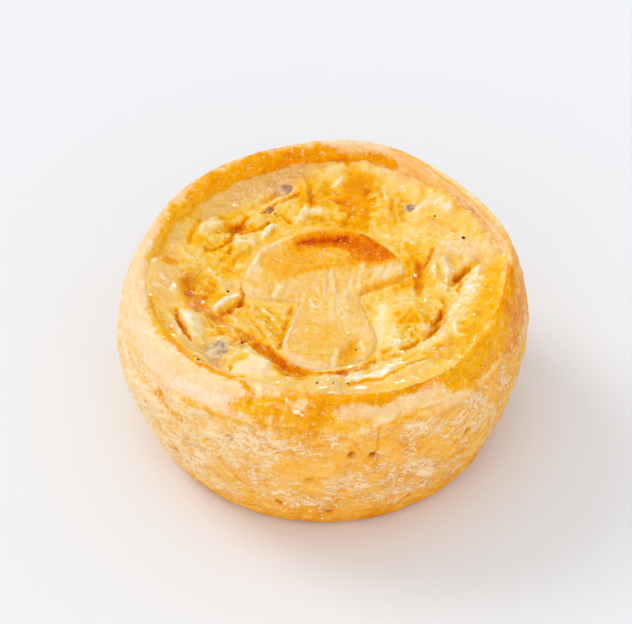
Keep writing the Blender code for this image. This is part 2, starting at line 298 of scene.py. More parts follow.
def rampNode(tree, value, stops):
    node = tree.nodes.new("ShaderNodeValToRGB")
    ramp = node.color_ramp
    ramp.interpolation = "LINEAR"
    while len(ramp.elements) < len(stops):
        ramp.elements.new(0.5)
    for element, (position, colour) in zip(ramp.elements, stops):
        element.position = position
        element.color = (*fromScreen(*colour), 1.0)
    tree.links.new(value, node.inputs["Fac"])
    return node.outputs["Color"]


def mixNode(tree, share, first, second):
    node = tree.nodes.new("ShaderNodeMix")
    node.data_type = "RGBA"
    firstSocket, secondSocket = [socket for socket in node.inputs if socket.type == "RGBA"]
    tree.links.new(share, node.inputs["Factor"])
    tree.links.new(first, firstSocket)
    tree.links.new(second, secondSocket)
    return next(socket for socket in node.outputs if socket.type == "RGBA")


def bumpNode(tree, height, depth, strength=1.0):
    node = tree.nodes.new("ShaderNodeBump")
    node.inputs["Strength"].default_value = strength
    node.inputs["Distance"].default_value = depth * mm
    tree.links.new(height, node.inputs["Height"])
    return node.outputs["Normal"]


def shareNode(tree, value, start, end):
    # 0 to 1 as the value goes from start to end
    node = tree.nodes.new("ShaderNodeMapRange")
    node.inputs["From Min"].default_value = start
    node.inputs["From Max"].default_value = end
    tree.links.new(value, node.inputs["Value"])
    return node.outputs["Result"]


filmLook = {
    # the streak values set the painted highlight streaks; the rest shape the wet film
    "streakSize": 0.9,
    "streakSoftness": 0.05,
    "streakStrength": 0.75,
    "swellSize": 1.9,
    "swellDepth": 0.6,
    "roughness": 0.03,
    "bending": 1.33,
}


def gleam(tree, colour, place, start, film=filmLook):
    # painted highlights: small pale streaks put into the colour where the wet film would catch the light
    streaks = noiseNode(tree, place, film["streakSize"], 2.0, 0.5, 1.4)
    shine = rampNode(tree, streaks, [(0.5, (255, 244, 222)), (0.9, (255, 252, 244))])
    share = shareNode(tree, streaks, start, start + film["streakSoftness"])
    return mixNode(tree, mathNode(tree, "MULTIPLY", share, film["streakStrength"]), colour, shine)


def finishSurface(tree, shader, look, colour, relief):
    # the surface's own colour, shine and relief
    tree.links.new(colour, shader.inputs["Base Color"])
    tree.links.new(bumpNode(tree, relief, *look["bump"]), shader.inputs["Normal"])
    shader.inputs["Roughness"].default_value = look["roughness"]
    shader.inputs["Specular IOR Level"].default_value = look["shine"]
    if "flesh" in look:
        # light goes a little way in and comes out orange
        weight, colours = look["flesh"]
        shader.inputs["Subsurface Weight"].default_value = weight
        shader.inputs["Subsurface Radius"].default_value = colours
        shader.inputs["Subsurface Scale"].default_value = 0.8 * mm


def glaze(tree, shader, place, weight, film=filmLook):
    # a smooth wet film whose gentle swells catch the light as small glints
    swells = noiseNode(tree, place, film["swellSize"], 0.5, 0.5)
    tree.links.new(bumpNode(tree, swells, film["swellDepth"]), shader.inputs["Coat Normal"])
    shader.inputs["Coat Roughness"].default_value = film["roughness"]
    shader.inputs["Coat IOR"].default_value = film["bending"]
    if isinstance(weight, float):
        shader.inputs["Coat Weight"].default_value = weight
    else:
        tree.links.new(weight, shader.inputs["Coat Weight"])


def addUp(tree, base, *parts):
    # base + the sum of (value - 0.5) * weight
    total = base
    for value, weight in parts:
        centred = mathNode(tree, "SUBTRACT", value, 0.5)
        total = mathNode(tree, "MULTIPLY_ADD", centred, weight, total)
    return total


# Shape shared with the solids

caseShape = {
    "baseRadius": 44.0,
    "outside": [
        (-2.2, 0), (-0.7, 0.8), (0, 2.5), (1.6, 5), (2.9, 9), (4.3, 13), (5.6, 17), (6.6, 21), (7.4, 25),
        (7.9, 29), (7.9, 32.5), (7.5, 36), (6.8, 39.5), (5.9, 43), (5, 46), (3.9, 48.4), (2.9, 49.7),
    ],
    "inside": [(1.9, 50.0), (0.9, 49.4), (0.2, 48.0), (-0.4, 46.0), (-0.1, 42.0), (0.2, 38.0)],
    "outlineWaves": [(1, 0.45, 180), (2, 0.5, 18), (3, 0.35, 90), (4, 0.3, 20), (6, 0.25, 72)],
    "riseWaves": [(1, 1.5, 85), (2, 0.45, 75), (4, 0.45, 75), (6, 0.25, 75)],
    "insideWaves": [(1, 1.2, 0), (3, 0.4, 60), (5, 0.25, 10)],
    "riseStarts": 20.0,
}


def wavesAt(theta, waves):
    return sum(size * np.cos(n * (theta - math.radians(at))) for n, size, at in waves)


def casePoint(theta, out, height, inside):
    # a point of the case's profile in the direction theta; inside is 0 to 1
    outline = wavesAt(theta, caseShape["outlineWaves"]) * np.clip(0.3 + height / 38, 0, 1)
    radius = caseShape["baseRadius"] + out + outline
    radius = radius + inside * wavesAt(theta, caseShape["insideWaves"])
    lifted = np.clip((height - caseShape["riseStarts"]) / 30, 0, 1)
    return radius, height + wavesAt(theta, caseShape["riseWaves"]) * lifted


# Custard. A mark that follows the picture ends with its route: across, down, across, down, in pixels.

custardLook = {
    "rows": 150,
    "steps": 640,
    "dishHeight": 41.3,
    "edgeHeight": 45.6,
    "edgeTilt": 1.3,
    "dishPower": 2.4,
    "edgeRange": (41, 48.4),
    "edgeSwell": 0.5,
    "edgeCell": 4.0,
    "edgeLift": 0.2,
    "edgeCalm": 0.6,
    "tuck": 0.9,
    "lap": 1.9,
    "lapWidth": 2.4,
    "bedGap": 0.25,
    "top": 49.5,
    "sideLevels": (40.0, 36.0, 8.0),
    "billows": 0.45,
    "fineBumps": 0.08,
    "ripples": 0.3,
    "plainTone": 0.34,
    "deepTone": 0.66,
    "deepShare": 0.7,
    # tone added in folds and hollows: partly pooled glaze, partly painted shade
    "foldPoolAndShade": 0.38,
    "hollowPoolAndShade": 0.14,
    "roughness": 0.3,
    "shine": 0.0,
    "bump": (0.5, 0.8),
    "flesh": (0.1, (1.0, 0.55, 0.2)),
    # noises of the colour: size, detail, roughness, distortion
    "noises": [(2.6, 4, 0.6, 0.6), (1.1, 4, 0.6, 1.0), (0.5, 3, 0.6, 0.0)],
    "beigeStops": [(0.3, (218, 154, 76)), (0.5, (240, 186, 110)), (0.7, (254, 224, 170))],
    "gleamStart": 0.66,
    "wetness": 0.7,
    # x, y, half length, half width, turn in degrees, height
    "lumps": [
        (-29, 20, 5, 3.6, 20, 1.7), (-22, 14.5, 5, 3, 32, 1.2), (-17, 25.5, 5.5, 2.8, 20, 1.5),
        (-12, 31, 4.5, 2.4, 12, 1.2), (-35, 11, 3.6, 4, 60, 0.9), (-24, 21.5, 6, 1.3, 35, -1.8),
        (-13, 34, 6, 1.3, 38, -1.3), (-5, 37, 2.6, 5, 85, 1.2), (-6, 28, 5.5, 2.6, 8, 1.5),
        (4, 28.5, 5.5, 2.6, -4, 1.3), (8, 34, 5, 4, 0, -0.5), (16, 29, 4.6, 4.2, 0, 1),
        (3, 41, 4, 2.5, 0, 1.1), (12, 41.5, 4.2, 2.2, -8, 1), (32, 28.5, 5.5, 4, -40, 1.3),
        (38, 20, 5, 3, -50, 1), (33, 13, 5, 4, 0, 1.3), (24, 19, 4, 3, -20, 0.8),
        (28.5, 3, 7, 3.3, 88, 2.7), (36, 5, 6, 1.4, 45, -1.8), (39, -5, 7, 4.6, 60, 1.9),
        (20, -12, 5.6, 6.4, 0, 2.6), (16, -21, 5, 4, 75, 1.7), (28, -15, 6, 1.4, 65, -2.2),
        (32, -19, 10, 3.4, 45, 1.9), (20, -32.5, 12, 2.6, 24, 1.2), (-17, -31, 8, 4.6, -28, 1.6),
        (-12, -27, 9, 1.7, -42, -2.2), (-2, -34, 8, 1.3, 0, -0.9), (-33, -14, 4.2, 4.4, 80, 1.6),
        (-36.5, -15, 5, 0.9, -65, -1.3), (-40, 1, 6, 4.2, 90, 1.2), (-31.5, -1, 5.5, 4, 85, -1.4),
        (-17, -13, 4, 5, 30, 0.7),
    ],
    # rises of the custard's edge where it has crept up the case: height, half width, then the route
    "creeps": [
        (2.2, 14, 152, 268, 149, 292), (1.8, 10, 248, 381, 285, 388, 330, 386),
        (2, 12, 503, 270, 500, 300, 486, 330), (1.4, 10, 470, 345, 440, 362, 390, 380),
        (2.2, 11, 235, 185, 262, 172, 290, 166, 330, 164, 365, 166),
        (1.6, 11, 170, 240, 185, 212, 215, 192), (1.8, 11, 385, 172, 420, 184, 450, 200),
        (1.4, 9, 470, 218, 492, 240, 502, 262), (0.9, 7, 156, 320, 185, 352, 225, 374),
    ],
    # folds, seams and pits: height, half width, then the route
    "relief": [
        (0.7, 4, 203, 226, 213, 222), (-0.41, 1.6, 199, 221, 192, 233, 189, 243),
        (0.5, 4, 196, 243, 206, 246), (-0.41, 1.6, 205, 250, 214, 250, 224, 244, 232, 238),
        (-0.68, 3.5, 233, 233, 238, 229), (-0.54, 2, 240, 228, 246, 218), (-0.48, 2, 243, 229, 251, 226),
        (0.6, 3.5, 237, 241, 252, 244), (0.6, 4, 250, 224, 262, 219),
        (-0.41, 1.5, 241, 234, 253, 232, 263, 228, 269, 222), (0.7, 3, 273, 227, 264, 236),
        (-0.61, 2.5, 268, 211, 272, 208), (-0.54, 1.8, 262, 213, 275, 204, 290, 198, 298, 195),
        (0.6, 4, 283, 206, 300, 205), (-0.34, 1.5, 266, 218, 280, 215, 289, 222),
        (0.9, 4, 303, 184, 307, 200, 304, 212), (-0.34, 1.6, 310, 186, 312, 200, 309, 214),
        (0.8, 4, 296, 221, 308, 213, 320, 212), (0.7, 4, 320, 216, 334, 215, 342, 221),
        (-0.34, 1.6, 292, 224, 303, 217, 318, 219), (-0.41, 2, 222, 261, 228, 258, 231, 249),
        (0.5, 3, 222, 254, 226, 247), (0.4, 4, 331, 174, 348, 170, 366, 174),
        (0.3, 3.5, 366, 175, 386, 177), (0.5, 2.5, 335, 186, 341, 181), (-0.34, 6, 350, 186, 366, 190),
        (-0.34, 5, 343, 206, 352, 210), (0.6, 6, 358, 198, 364, 206), (0.7, 3.5, 384, 190, 386, 204),
        (0.8, 5, 396, 206, 398, 213), (0.7, 5, 384, 210, 388, 218),
        (-0.27, 1.5, 372, 188, 376, 204, 371, 220, 380, 232), (0.4, 2.5, 378, 196, 381, 203),
        (-0.41, 2, 392, 200, 391, 214, 396, 222), (-0.48, 1.8, 421, 190, 424, 197, 418, 204),
        (0.7, 3, 414, 212, 426, 204, 441, 195), (0.6, 5, 437, 208, 448, 212),
        (-0.41, 1.8, 428, 216, 438, 222, 449, 224, 456, 232), (0.5, 4, 463, 214, 476, 226),
        (-0.34, 1.5, 434, 236, 446, 240, 458, 236), (0.5, 3, 404, 240, 414, 244),
        (0.5, 2.5, 402, 250, 409, 260), (-0.61, 1.6, 433, 248, 429, 258, 423, 267),
        (0.8, 5, 432, 268, 435, 277), (-0.88, 3.5, 419, 264, 418, 280, 418, 294),
        (0.7, 4, 444, 262, 452, 276), (0.5, 4, 446, 290, 452, 293),
        (-0.75, 2.4, 467, 269, 460, 278, 453, 284), (-0.54, 1.8, 460, 283, 459, 295),
        (0.8, 6, 476, 272, 468, 290), (0.8, 7, 464, 300, 450, 317), (0.7, 6, 442, 335, 424, 348),
        (-0.95, 2.4, 442, 311, 438, 319, 431, 325), (-0.41, 1.8, 419, 322, 431, 322),
        (-0.34, 1.6, 441, 298, 446, 306, 444, 312), (-0.48, 1.8, 438, 328, 431, 338, 424, 341),
        (0.8, 5, 383, 309, 379, 320, 380, 334), (0.5, 4, 400, 301, 424, 300),
        (-0.48, 1.8, 398, 322, 412, 321, 420, 324), (0.6, 4, 404, 330, 420, 335),
        (-0.48, 1.4, 402, 351, 412, 346, 419, 341), (0.5, 3, 396, 345, 410, 341),
        (-0.34, 1.4, 383, 354, 391, 349), (0.6, 4, 386, 369, 402, 360, 420, 353),
        (-0.34, 1.5, 380, 360, 396, 356, 406, 357), (0.5, 3, 350, 377, 370, 376, 388, 371),
        (-0.41, 1.5, 350, 384, 385, 380, 401, 371, 412, 365, 427, 361),
        (-0.48, 2.2, 338, 372, 352, 370, 364, 366, 374, 361), (-0.7, 4.5, 260, 344, 270, 354, 279, 365),
        (-0.82, 4, 282, 368, 292, 374, 304, 376), (-0.48, 1.6, 268, 346, 276, 355, 284, 367),
        (0.6, 5, 240, 370, 262, 372), (0.9, 4, 250, 357, 266, 366),
        (-0.41, 1.6, 228, 371, 232, 364, 242, 359), (0.7, 3, 228, 359, 238, 352, 247, 353),
        (-0.34, 1.5, 232, 343, 240, 339, 247, 341), (0.6, 2.2, 214, 324, 227, 331, 240, 337),
        (-0.34, 1.4, 212, 328, 226, 335, 236, 340), (0.5, 2, 205, 318, 216, 328),
        (-1.7, 8, 207, 346, 213, 353, 219, 362), (-0.34, 1.4, 207, 336, 222, 334, 230, 332),
        (0.7, 6, 188, 316, 195, 331), (-0.82, 1.6, 176, 307, 177, 319, 182, 328, 191, 339),
        (-0.48, 2, 152, 303, 155, 320, 165, 335, 180, 351, 198, 363, 215, 372, 244, 382),
        (-0.82, 7, 187, 281, 190, 296), (-0.61, 6, 200, 300, 214, 312),
        (0.7, 2.4, 182, 276, 195, 270, 209, 268), (0.7, 4, 210, 272, 217, 280),
        (0.5, 3, 214, 262, 230, 256, 246, 249), (-0.75, 3.5, 222, 312, 232, 309, 239, 303),
        (-0.82, 2.4, 242, 284, 243, 297, 239, 306), (0.5, 2.2, 214, 308, 228, 299, 239, 295),
        (0.5, 3, 252, 318, 262, 327, 270, 338), (-0.34, 1.6, 246, 313, 257, 325, 265, 338),
        (0.4, 2.4, 262, 311, 275, 320, 282, 332), (-0.27, 1.5, 256, 309, 270, 319, 277, 334),
        (0.4, 2.4, 278, 311, 288, 318), (-0.54, 2.4, 292, 309, 284, 330, 279, 348),
        (-0.54, 2.2, 284, 362, 300, 369, 322, 373, 345, 372),
        (-0.54, 2.2, 366, 303, 376, 312, 379, 330, 374, 348, 362, 366),
    ],
    # 0 cream, 0.3 pale yellow, 0.5 yellow, 0.65 orange, 1 burnt: tone, strength, half width, the route
    # Some marks are painted light: the dark ones along creases and beside the pastry mushroom's edge and
    # foot are painted shade, and the thin pale strokes are painted highlights.
    "tones": [
        (0.3, 0.5, 8, 205, 205, 230, 200, 250, 200), (0.22, 0.8, 7, 203, 228, 212, 222),
        (0.5, 0.8, 6, 224, 226, 228, 240), (0.64, 0.7, 2.5, 199, 221, 191, 235, 189, 243),
        (0.56, 0.8, 6, 196, 242, 206, 246), (0.68, 0.8, 2.5, 207, 250, 214, 250, 224, 244, 231, 238),
        (0.6, 0.6, 6, 232, 221, 240, 217), (0.84, 0.95, 4.5, 233, 233, 238, 229),
        (0.8, 0.9, 2.5, 240, 228, 246, 218), (0.72, 0.8, 3, 243, 229, 251, 226),
        (0.72, 0.8, 3, 221, 219, 231, 228), (0.6, 0.8, 5, 223, 252, 229, 247),
        (0.72, 0.8, 2.5, 222, 261, 228, 258, 230, 250), (0.18, 0.8, 5, 238, 240, 250, 243),
        (0.3, 0.8, 5, 244, 250, 255, 244), (0.42, 0.7, 6, 250, 224, 262, 220),
        (0.66, 0.7, 1.8, 241, 233, 252, 231, 262, 227, 268, 222), (0.1, 0.9, 4, 273, 227, 264, 236),
        (0.52, 0.7, 4, 275, 233, 268, 240), (0.9, 0.9, 3, 268, 211, 272, 208),
        (0.76, 0.8, 2, 262, 213, 275, 204, 290, 198, 298, 195), (0.46, 0.7, 6, 283, 207, 300, 205),
        (0.36, 0.7, 4, 282, 204, 298, 200), (0.6, 0.6, 3, 265, 217, 280, 215, 288, 222),
        (0.58, 0.8, 4, 277, 218, 285, 223), (0.68, 0.7, 2, 290, 221, 298, 215),
        (0.7, 0.9, 6, 303, 184, 307, 200, 304, 212), (0.62, 0.8, 6, 313, 187, 316, 205),
        (0.2, 0.6, 4, 318, 178, 326, 182), (0.2, 0.85, 4.5, 296, 221, 308, 213, 318, 212),
        (0.52, 0.8, 6, 320, 222, 330, 216, 340, 222), (0.46, 0.7, 5, 318, 205, 330, 205),
        (0.27, 0.8, 5, 332, 175, 348, 170, 366, 174), (0.2, 0.7, 5, 366, 174, 385, 176, 395, 180),
        (0.62, 0.9, 8, 325, 190, 332, 196), (0.7, 0.95, 11, 350, 186, 365, 188),
        (0.68, 0.95, 11, 358, 200, 366, 205), (0.77, 0.9, 8, 343, 205, 352, 210),
        (0.76, 0.8, 6, 366, 214, 364, 225), (0.68, 0.8, 7, 345, 225, 360, 225),
        (0.52, 0.7, 5, 345, 180, 355, 178), (0.14, 0.8, 3.5, 335, 186, 341, 181),
        (0.56, 0.8, 5, 380, 190, 384, 205), (0.5, 0.9, 8, 384, 208, 388, 216),
        (0.65, 0.9, 5.5, 396, 206, 398, 213), (0.56, 0.8, 5, 375, 222, 390, 225),
        (0.4, 0.8, 5, 385, 228, 400, 232), (0.16, 0.8, 2, 372, 220, 376, 230, 390, 240),
        (0.3, 0.7, 5, 392, 186, 400, 196), (0.52, 0.6, 4, 395, 196, 402, 200),
        (0.16, 0.6, 1.3, 369, 198, 378, 193), (0.16, 0.6, 1.2, 372, 203, 380, 200),
        (0.12, 0.9, 1.2, 372, 208, 378, 207), (0.12, 0.9, 1.2, 371, 215, 376, 213),
        (0.16, 0.6, 1.6, 383, 189, 386, 201), (0.16, 0.6, 1.6, 388, 209, 393, 218),
        (0.26, 0.8, 6, 405, 188, 415, 195), (0.18, 0.8, 6, 412, 214, 425, 205, 440, 196),
        (0.52, 0.7, 4, 436, 194, 448, 196), (0.26, 0.7, 8, 436, 208, 448, 212),
        (0.08, 0.8, 2, 436, 206, 441, 203), (0.08, 0.8, 1.8, 443, 212, 449, 210),
        (0.54, 0.7, 4, 456, 206, 468, 215), (0.55, 0.8, 3.5, 470, 218, 480, 226, 487, 234),
        (0.32, 0.7, 7, 460, 222, 474, 232), (0.14, 0.7, 10, 445, 240, 470, 250, 488, 250),
        (0.24, 0.6, 6, 405, 232, 420, 235), (0.34, 0.7, 8, 425, 232, 432, 245),
        (0.5, 0.7, 4, 400, 250, 418, 252), (0.58, 0.8, 6, 410, 248, 420, 262),
        (0.16, 0.6, 1.4, 401, 243, 408, 240, 413, 244), (0.16, 0.6, 1.6, 404, 248, 409, 258),
        (0.74, 0.9, 1.8, 431, 250, 428, 259, 424, 266), (0.57, 0.95, 8, 432, 268, 435, 276),
        (0.16, 0.6, 1.5, 433, 268, 434, 276), (0.48, 0.8, 6, 430, 285, 434, 292),
        (0.74, 0.95, 4, 420, 266, 420, 280, 420, 294), (0.66, 0.9, 7, 410, 262, 412, 280, 402, 290),
        (0.6, 0.8, 4, 395, 292, 408, 296), (0.2, 0.7, 6, 445, 262, 452, 275),
        (0.24, 0.7, 5, 445, 290, 452, 292), (0.72, 0.9, 4, 466, 270, 460, 278, 453, 283),
        (0.7, 0.9, 2.6, 460, 283, 459, 294), (0.6, 0.7, 4, 470, 272, 476, 268),
        (0.18, 0.9, 9, 478, 275, 468, 290), (0.2, 0.9, 9, 465, 300, 450, 318),
        (0.22, 0.9, 8, 442, 335, 425, 348), (0.58, 0.95, 8, 492, 275, 488, 300),
        (0.57, 0.95, 9, 484, 312, 470, 328), (0.58, 0.95, 8, 458, 345, 440, 352),
        (0.62, 0.9, 5, 447, 358, 430, 360), (0.08, 0.8, 2, 454, 327, 458, 335, 465, 338),
        (0.88, 0.95, 3, 441, 312, 438, 319, 432, 325), (0.76, 0.9, 2.5, 422, 321, 432, 322),
        (0.7, 0.8, 3, 442, 300, 446, 306), (0.68, 0.8, 3, 437, 329, 430, 337),
        (0.4, 0.8, 5, 428, 306, 434, 314), (0.14, 0.95, 6, 384, 308, 379, 320, 380, 335),
        (0.28, 0.9, 8, 400, 300, 425, 298), (0.5, 0.8, 5, 405, 308, 420, 306),
        (0.62, 0.95, 5, 398, 317, 415, 316, 428, 318), (0.6, 0.9, 6, 404, 328, 420, 334),
        (0.16, 0.6, 1.5, 410, 325, 413, 333), (0.16, 0.6, 1.5, 405, 335, 410, 339),
        (0.18, 0.8, 5, 428, 328, 422, 326), (0.2, 0.8, 7, 392, 325, 392, 340),
        (0.24, 0.8, 6, 385, 352, 395, 345), (0.62, 0.8, 2, 402, 350, 412, 346, 418, 342),
        (0.62, 0.8, 2.5, 383, 352, 390, 349), (0.56, 0.7, 3, 385, 358, 398, 356),
        (0.24, 0.95, 6, 385, 370, 400, 360, 420, 352), (0.46, 0.8, 3, 402, 362, 420, 356, 436, 354),
        (0.04, 0.95, 2.6, 348, 379, 368, 377, 388, 373), (0.18, 0.8, 4, 375, 372, 392, 366),
        (0.68, 0.95, 3, 338, 372, 352, 370, 364, 367, 374, 360), (0.16, 0.6, 1.1, 361, 367, 368, 369),
        (0.14, 0.9, 5, 318, 378, 335, 378), (0.6, 0.7, 2.4, 330, 378, 333, 384),
        (0.66, 0.95, 9, 257, 343, 268, 352, 277, 362), (0.68, 0.95, 8, 280, 364, 288, 372, 300, 376),
        (0.68, 0.95, 5, 300, 373, 318, 374), (0.62, 0.9, 4, 292, 364, 305, 368),
        (0.72, 0.9, 2.2, 318, 373, 335, 372, 346, 371),
        (0.76, 0.8, 1.8, 268, 346, 276, 354, 284, 366, 290, 375),
        (0.74, 0.7, 1.6, 262, 342, 270, 350, 274, 358), (0.6, 0.9, 5, 240, 345, 252, 349),
        (0.08, 0.95, 10, 238, 369, 262, 373), (0.1, 0.95, 7, 249, 358, 264, 366),
        (0.16, 0.6, 1.4, 246, 343, 249, 349), (0.52, 0.7, 2.5, 229, 367, 236, 359, 247, 357),
        (0.36, 0.8, 5, 228, 358, 236, 352), (0.8, 0.8, 1.6, 228, 370, 231, 366),
        (0.64, 0.8, 2.5, 232, 342, 240, 338, 246, 340), (0.7, 0.9, 3.5, 215, 323, 228, 330, 240, 335),
        (0.74, 0.9, 3, 240, 333, 252, 338), (0.16, 0.6, 1.3, 220, 327, 230, 329, 234, 335),
        (0.6, 0.8, 3, 205, 318, 215, 328), (0.3, 0.6, 4, 215, 333, 228, 338),
        (0.58, 0.8, 1.5, 208, 334, 222, 333, 230, 332), (0.18, 0.9, 9, 187, 315, 194, 330),
        (0.32, 0.7, 6, 198, 322, 206, 330), (0.76, 0.95, 1.7, 176, 307, 177, 319, 182, 327, 190, 338),
        (0.58, 0.8, 4, 163, 324, 173, 333), (0.34, 0.8, 5, 168, 310, 171, 322),
        (0.62, 0.95, 8, 187, 280, 190, 296, 205, 300), (0.58, 0.9, 8, 205, 292, 218, 298),
        (0.68, 0.9, 5, 184, 282, 187, 292), (0.62, 0.8, 6, 200, 278, 212, 285),
        (0.72, 0.9, 4, 196, 303, 212, 316, 225, 320), (0.66, 0.9, 4, 187, 306, 198, 310),
        (0.6, 0.9, 4, 225, 270, 238, 275), (0.56, 0.8, 5, 228, 262, 245, 252),
        (0.5, 0.9, 4, 212, 264, 228, 257, 248, 249), (0.68, 0.8, 2, 183, 274, 195, 270, 208, 268),
        (0.06, 0.9, 2, 217, 307, 230, 298, 240, 294), (0.74, 0.97, 5, 224, 313, 233, 308, 240, 302),
        (0.72, 0.9, 3, 243, 290, 244, 300, 240, 312), (0.52, 0.9, 9, 250, 318, 262, 328, 274, 338),
        (0.5, 0.8, 8, 255, 312, 275, 318, 290, 330), (0.5, 0.8, 5, 235, 315, 245, 312),
        (0.44, 0.8, 5, 275, 343, 282, 335), (0.16, 0.6, 1.2, 258, 321, 264, 327),
        (0.16, 0.6, 1.2, 268, 330, 273, 338), (0.16, 0.6, 1.2, 262, 312, 272, 316),
        (0.16, 0.6, 1.4, 284, 309, 292, 306), (0.16, 0.6, 1.3, 283, 318, 290, 322),
        (0.16, 0.6, 1.4, 193, 276, 196, 272), (0.16, 0.6, 1.4, 205, 283, 209, 287),
        (0.64, 0.9, 3, 292, 309, 284, 330, 280, 346),
    ],
    # beige places where the custard is thin and dull: target, strength, half width, then the route
    "beiges": [
        (0.75, 0.8, 11, 235, 200, 255, 186, 285, 176, 300, 172), (0.5, 0.7, 9, 205, 212, 225, 205),
        (0.6, 0.7, 5, 176, 232, 172, 252, 176, 262), (0.5, 0.85, 14, 160, 268, 166, 292),
        (0.9, 0.8, 7, 272, 188, 282, 182, 290, 186), (0.7, 0.8, 9, 405, 178, 425, 180),
        (0.85, 0.9, 6, 385, 166, 425, 178, 458, 200, 486, 230, 498, 256), (0.5, 0.7, 6, 440, 186, 452, 190),
        (0.5, 0.7, 5, 428, 222, 445, 230), (0.45, 0.7, 9, 440, 255, 470, 245, 485, 262),
        (0.5, 0.7, 7, 190, 345, 200, 352), (0.8, 0.9, 8, 210, 345, 215, 360),
        (0.5, 0.7, 4, 228, 345, 240, 345), (0.35, 0.6, 9, 245, 367, 264, 372),
        (0.3, 0.8, 5, 222, 376, 262, 384, 300, 388, 335, 388),
        (0.2, 0.8, 4, 335, 388, 380, 386, 420, 372, 455, 352), (0.6, 0.8, 4, 225, 285, 236, 285),
    ],
    # smooth places: target, strength, half width, then the route
    "smooths": [
        (1, 1, 17, 158, 268, 164, 294), (1, 1, 13, 240, 370, 265, 374), (0.7, 1, 8, 382, 312, 380, 335),
        (0.5, 1, 10, 350, 190, 365, 215),
    ],
    # wrinkles: height, run of the wrinkles in degrees, width, half width of the place, the route
    "wrinkles": [
        (0.35, -52, 1.3, 14, 250, 318, 278, 338), (0.3, 75, 1.5, 14, 345, 195, 390, 210),
        (0.3, 55, 1.6, 16, 482, 280, 455, 335), (0.3, 25, 1.5, 12, 390, 362, 430, 345),
        (0.3, 30, 1.6, 14, 215, 235, 280, 222), (0.35, -40, 1.2, 12, 205, 325, 245, 345),
        (0.25, 0, 1.6, 14, 300, 215, 360, 215), (0.3, -35, 1.6, 14, 440, 205, 478, 240),
        (0.3, 60, 1.5, 12, 400, 310, 420, 335), (0.3, 70, 1.4, 10, 285, 210, 310, 195),
        (0.25, 50, 1.2, 12, 190, 285, 225, 280), (0.25, 80, 1.8, 12, 430, 270, 455, 285),
    ],
}
# egg wash that runs from the rim onto the custard: tone, strength, half width, then the route
eggWash = [
    (0.49, 1, 8, 156, 257, 163, 240, 170, 225, 178, 212), (0.52, 1, 10, 182, 215, 194, 203, 208, 190),
    (0.56, 1, 11, 215, 187, 235, 175, 255, 168), (0.62, 1, 8, 255, 163, 280, 158, 305, 156, 325, 155),
    (0.66, 0.8, 5, 262, 172, 278, 168), (0.62, 0.9, 6, 322, 152, 335, 157),
    (0.62, 0.9, 5, 335, 160, 360, 158, 378, 159, 390, 163), (0.66, 0.8, 3, 342, 160, 338, 167),
    (0.6, 0.8, 3, 352, 163, 347, 169), (0.6, 0.7, 3, 395, 165, 391, 172),
    (0.68, 0.9, 3.5, 165, 262, 175, 263), (0.5, 0.95, 4.5, 152, 302, 156, 320, 165, 334),
    (0.6, 0.95, 1.8, 165, 334, 180, 350, 198, 362, 215, 372, 243, 381),
    (0.64, 0.9, 1.6, 348, 384, 362, 381, 385, 380, 400, 372, 412, 365, 426, 361),
    (0.51, 0.9, 7, 494, 272, 494, 300, 484, 322), (0.56, 0.85, 7, 478, 335, 462, 348),
]


def custardTop(look, x, y):
    radius, theta = np.hypot(x, y), np.arctan2(y, x)
    front = look["edgeTilt"] * np.cos(theta + math.pi / 2)
    share = np.clip(radius / caseShape["baseRadius"], 0, 1.1)
    rise = look["edgeHeight"] + front - look["dishHeight"]
    height = look["dishHeight"] + rise * share ** look["dishPower"]
    for centreX, centreY, halfLength, halfWidth, turn, tall in look["lumps"]:
        height = height + tall * bump(x, y, centreX, centreY, halfLength, halfWidth, turn)
    return height


def edgeSwell(look, x, y):
    return look["edgeSwell"] * layeredNoise(x, y, 0, look["edgeCell"], 2, 58)


def insideRadius(theta, level):
    # radius of the case's inside in each direction, at the level given for it
    heights, radii = [], []
    for out, at in reversed(caseShape["inside"]):
        radius, height = casePoint(theta, out, at, 1.0)
        radii.append(radius)
        heights.append(height)
    heights, radii = np.array(heights), np.array(radii)
    found = [np.interp(level[k], heights[:, k], radii[:, k]) for k in range(len(theta))]
    return np.array(found)


def wrinkleField(x, y, run, width, seed):
    # long wrinkles that run in one direction, -0.5 to 0.5
    c, s = math.cos(math.radians(run)), math.sin(math.radians(run))
    along, across = x * c + y * s, y * c - x * s
    bend = 0.8 * softNoise(x, y, 0, 4.0, seed)
    waves = softNoise(along / 3.2, across + bend, 0, width, seed + 1)
    return 0.6 - np.abs(waves) * 1.8


def smoothGrid(field, times):
    # the field with its small bumps smoothed away
    field = field.copy()
    for _ in range(times):
        field = (np.roll(field, 1, 1) + 2 * field + np.roll(field, -1, 1)) / 4
        field[1:-1] = (field[:-2] + 2 * field[1:-1] + field[2:]) / 4
    return field


